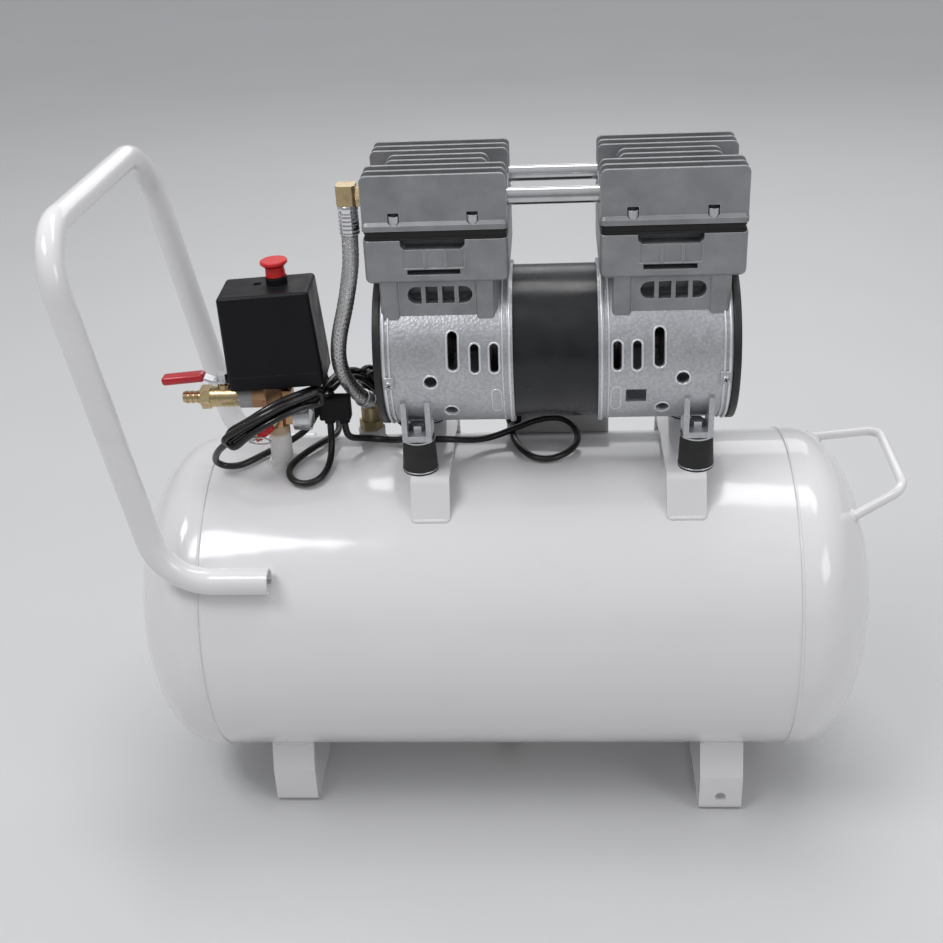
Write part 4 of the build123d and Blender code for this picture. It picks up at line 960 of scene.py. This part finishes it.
def ring_weld(start, direction, radius, reach):
    """A bead where a round bar along a line goes into the tank."""
    direction = direction.normalized()
    u = direction.orthogonal().normalized()
    v = direction.cross(u)
    points = []
    for k in range(WELD_STEPS + 1):
        a = 2 * math.pi * k / WELD_STEPS
        rim = start + (u * math.cos(a) + v * math.sin(a)) * (radius + RING_BEAD * 0.3)
        points.append(where_it_meets(rim, direction, reach))
    return bead(points, RING_BEAD)


def strap_weld(x, half, points, bead_r, outside):
    """A bead along a strap's width where its outer face goes into the tank."""
    (y0, z0), (y1, z1) = points
    run = Vector((0, y1 - y0, z1 - z0)) * MM
    normal = Vector((0, -run.z, run.y)).normalized() * outside
    start = Vector((x, y0 * MM, z0 * MM)) + normal * STRAP_T
    line = []
    for share in (-1.0, -0.5, 0.0, 0.5, 1.0):
        line.append(where_it_meets(start + Vector((share * half, 0, 0)), run.normalized(), 0.07))
    return bead(line, bead_r)


def all_welds():
    parts = []
    for side in (-1, 1):
        parts.append(hoop((side * SEAM_X, 0, TANK_MID.z), 130.2, 1.25, 240))
    for side in (-1, 1):
        shift = -side * 5.0
        for flank in (-1, 1):
            leg = ((shift + flank * 89.0, 35.0), (shift + flank * 76.0, 72.0))
            parts.append(strap_weld(side * FOOT_X, 16.5 * MM, leg, 2.0 * MM, -flank))
    for side in (-1, 1):
        for flank in (-1, 1):
            leg = ((flank * 60.0, 298.5), (flank * 76.0, 258.0))
            parts.append(strap_weld(MOTOR_X + side * SADDLE_X, 14 * MM, leg, 1.8 * MM, flank))
    for flank in (-1, 1):
        radial = Vector((0, flank * 114.0, 80.0)).normalized()
        around = Vector((1, 0, 0)).cross(radial)
        for way in (-1, 1):
            line = []
            for k in range(9):
                x = (-172 - 6.5 * k) * MM
                line.append(TANK_MID + Vector((x, 0, 0))
                            + (radial * 130.6 + around * way * 5.6) * MM)
            parts.append(bead(line, 2.1 * MM))
    # side handle's two ends, riser, check valve's boss and drain boss
    for start, direction, radius, reach in (
            ((300, 43, 282), (-55, -1, -5), 3.8, 0.09), ((311, -47, 278), (-39, 0, -26), 3.8, 0.09),
            ((-171.5, -14, 330), (0, 0, -1), 10.3, 0.08),
            ((-105, 33, 330), (0, 0, -1), 11, 0.08), ((0, 0, 5), (0, 0, 1), 11, 0.06)):
        parts.append(ring_weld(Vector(start) * MM, Vector(direction), radius * MM, reach))
    verts, faces, _ = joined(*parts)
    piece("weld_beads", verts, faces, ["tank_white"])


all_welds()

# ---------- small fittings


DIAL_AT = Vector((-149.9, -14.0, 333.5)) * MM
DIAL_R = 11.0
RELIEF_SEAT = Vector((-169.5, -21.5, 335.5)) * MM
RELIEF_AXIS = Vector((-0.70, -0.61, -0.37)).normalized()


def gauge_marks():
    """Dial face with ticks and plain numbers, behind the gauge's lens."""
    at = DIAL_AT
    x_axis = Vector((1, 0, 0))
    parts = [turned([(0, DIAL_R), (0.3, DIAL_R)], at, x_axis, 48)]
    for k in range(25):
        a = math.radians(225 - 270 * k / 24)
        out = Vector((0, math.cos(a), math.sin(a)))
        long = 1.9 if k % 6 == 0 else 1.0
        across = x_axis.cross(out)
        middle = at + x_axis * 0.4 * MM + out * (10.0 - long / 2) * MM
        parts.append(soft_box(middle, (long, 0.28, 0.12), (out, across, x_axis), 0.02, 1))
    verts, faces, origin = joined(*parts)
    piece("gauge_dial", verts, faces, ["paper", "black_plastic"], "frame",
          [min(part, 1) for part in origin], smooth=False)
    for k, number in enumerate(("0", "4", "8", "12")):
        a = math.radians(225 - 90 * k)
        text = bpy.data.curves.new("dial_number", "FONT")
        text.body = number
        text.size = 2.6 * MM
        text.extrude = 0.04 * MM
        text.align_x, text.align_y = "CENTER", "CENTER"
        mesh_source = bpy.data.objects.new("dial_number", text)
        mesh = bpy.data.meshes.new_from_object(mesh_source)
        bpy.data.curves.remove(text)
        place = at + Vector((0.42, math.cos(a) * 6.4, math.sin(a) * 6.4)) * MM
        turn = Matrix(((0, 0, 1), (1, 0, 0), (0, 1, 0))).to_4x4()
        mesh.transform(Matrix.Translation(place) @ turn)
        mesh.materials.clear()
        mesh.materials.append(MATERIALS["black_plastic"])
        made = bpy.data.objects.new(f"dial_number_{number}", mesh)
        SCENE.collection.objects.link(made)
        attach(made, "frame")


def safety_sleeve():
    """Red sleeve that marks the relief valve, with a knurled collar."""
    rows = [(9.2, 6.2), (9.5, 6.7), (22.8, 6.7), (23.6, 6.3), (25.2, 5.6), (25.3, 2.6)]
    parts = [turned(rows, RELIEF_SEAT, RELIEF_AXIS, 36)]
    for a in (11.0, 13.2, 15.4):
        band = [(a, 6.6), (a + 0.3, 6.95), (a + 0.9, 6.95), (a + 1.2, 6.6)]
        parts.append(turned(band, RELIEF_SEAT, RELIEF_AXIS, 36))
    verts, faces, _ = joined(*parts)
    piece("safety_sleeve", verts, faces, ["red_plastic"])


def bolt_washers():
    """Cupped washers above and below each rubber mount."""
    parts = []
    for x in (-105, 105):
        for y in (-45, 45):
            at = Vector((MOTOR_X + x * MM, y * MM, 0))
            for z, way, radii in ((328.5, -1, (11.4, 12.0, 12.7, 12.3)),
                                  (300.5, 1, (12.6, 13.3, 13.9, 13.3))):
                rows = [(0, 3.4), *zip((0, 0.5, 2.2, 2.3), radii)]
                parts.append(turned(rows, at + Vector((0, 0, z * MM)), (0, 0, way), 40))
    verts, faces, _ = joined(*parts)
    piece("mount_washers", verts, faces, ["zinc_steel"])


def capacitor_lid():
    """Lid of the capacitor's box with its two screws and the gland for the lead."""
    lid = soft_box(Vector((48, 65, 310.4)) * MM, (87, 49, 3.6),
                   ((1, 0, 0), (0, 1, 0), (0, 0, 1)), 1.4)
    screws = []
    for x, y in ((13, 84), (83, 46), (13, 46), (83, 84)):
        screws.append(turned([(0, 2.8), (0.9, 2.7), (1.4, 1.8), (1.4, 0.2)],
                             Vector((x, y, 312)) * MM, (0, 0, 1), 20))
    gland = turned([(0, 6.0), (0.5, 6.4), (4, 6.4), (4.6, 5.6), (7.5, 4.2), (7.6, 3.0)],
                   Vector((12, 42, 300.5)) * MM, (0, -1, 0), 28)
    verts, faces, origin = joined(lid, gland, *screws)
    # the lid's grey is painted shade on white plastic
    piece("capacitor_lid", verts, faces, ["grey_plastic", "black_plastic", "zinc_steel"], "frame",
          [min(part, 2) for part in origin])


gauge_marks()
safety_sleeve()
bolt_washers()
capacitor_lid()

# ---------- floor and lights
floor_mesh = bpy.data.meshes.new("floor")
floor_mesh.from_pydata([(-8, -8, 0), (8, -8, 0), (8, 8, 0), (-8, 8, 0)], [], [(0, 1, 2, 3)])
floor = bpy.data.objects.new("floor", floor_mesh)
SCENE.collection.objects.link(floor)
floor_nodes = Nodes("floor_pale")
floor_mesh.materials.append(floor_nodes.finish(
    floor_nodes.mix(floor_nodes.ramp(floor_nodes.noise(3, 3), 0.3, 0.7), (0.64, 0.64, 0.64),
                    (0.66, 0.66, 0.66)), 0.6))

world = bpy.data.worlds.new("studio")
SCENE.world = world
world.use_nodes = True
sky = world.node_tree
direction = sky.nodes.new("ShaderNodeTexCoord")
split = sky.nodes.new("ShaderNodeSeparateXYZ")
sky.links.new(direction.outputs["Generated"], split.inputs[0])
height = sky.nodes.new("ShaderNodeMapRange")
for key, limit in (("From Min", -0.1), ("From Max", 0.9), ("To Min", 0.17), ("To Max", 0.62)):
    height.inputs[key].default_value = limit
sky.links.new(split.outputs["Z"], height.inputs["Value"])
sky.nodes["Background"].inputs["Color"].default_value = (0.95, 0.965, 1.0, 1)
sky.links.new(height.outputs["Result"], sky.nodes["Background"].inputs["Strength"])
SCENE.view_settings.view_transform = "Standard"
area_light("key_light", (-0.9, -0.7, 2.0), (0, 0, 0.3), (1.0, 0.5), 14)
area_light("fill_light", (1.6, -1.3, 1.5), (0, 0, 0.25), (0.9, 0.7), 6)
area_light("top_light", (0.3, 0.4, 2.2), (0, 0, 0.3), (1.8, 0.5), 13)
area_light("back_light", (0.2, 2.0, 1.4), (0, 0, 0.3), (1.8, 0.8), 6)
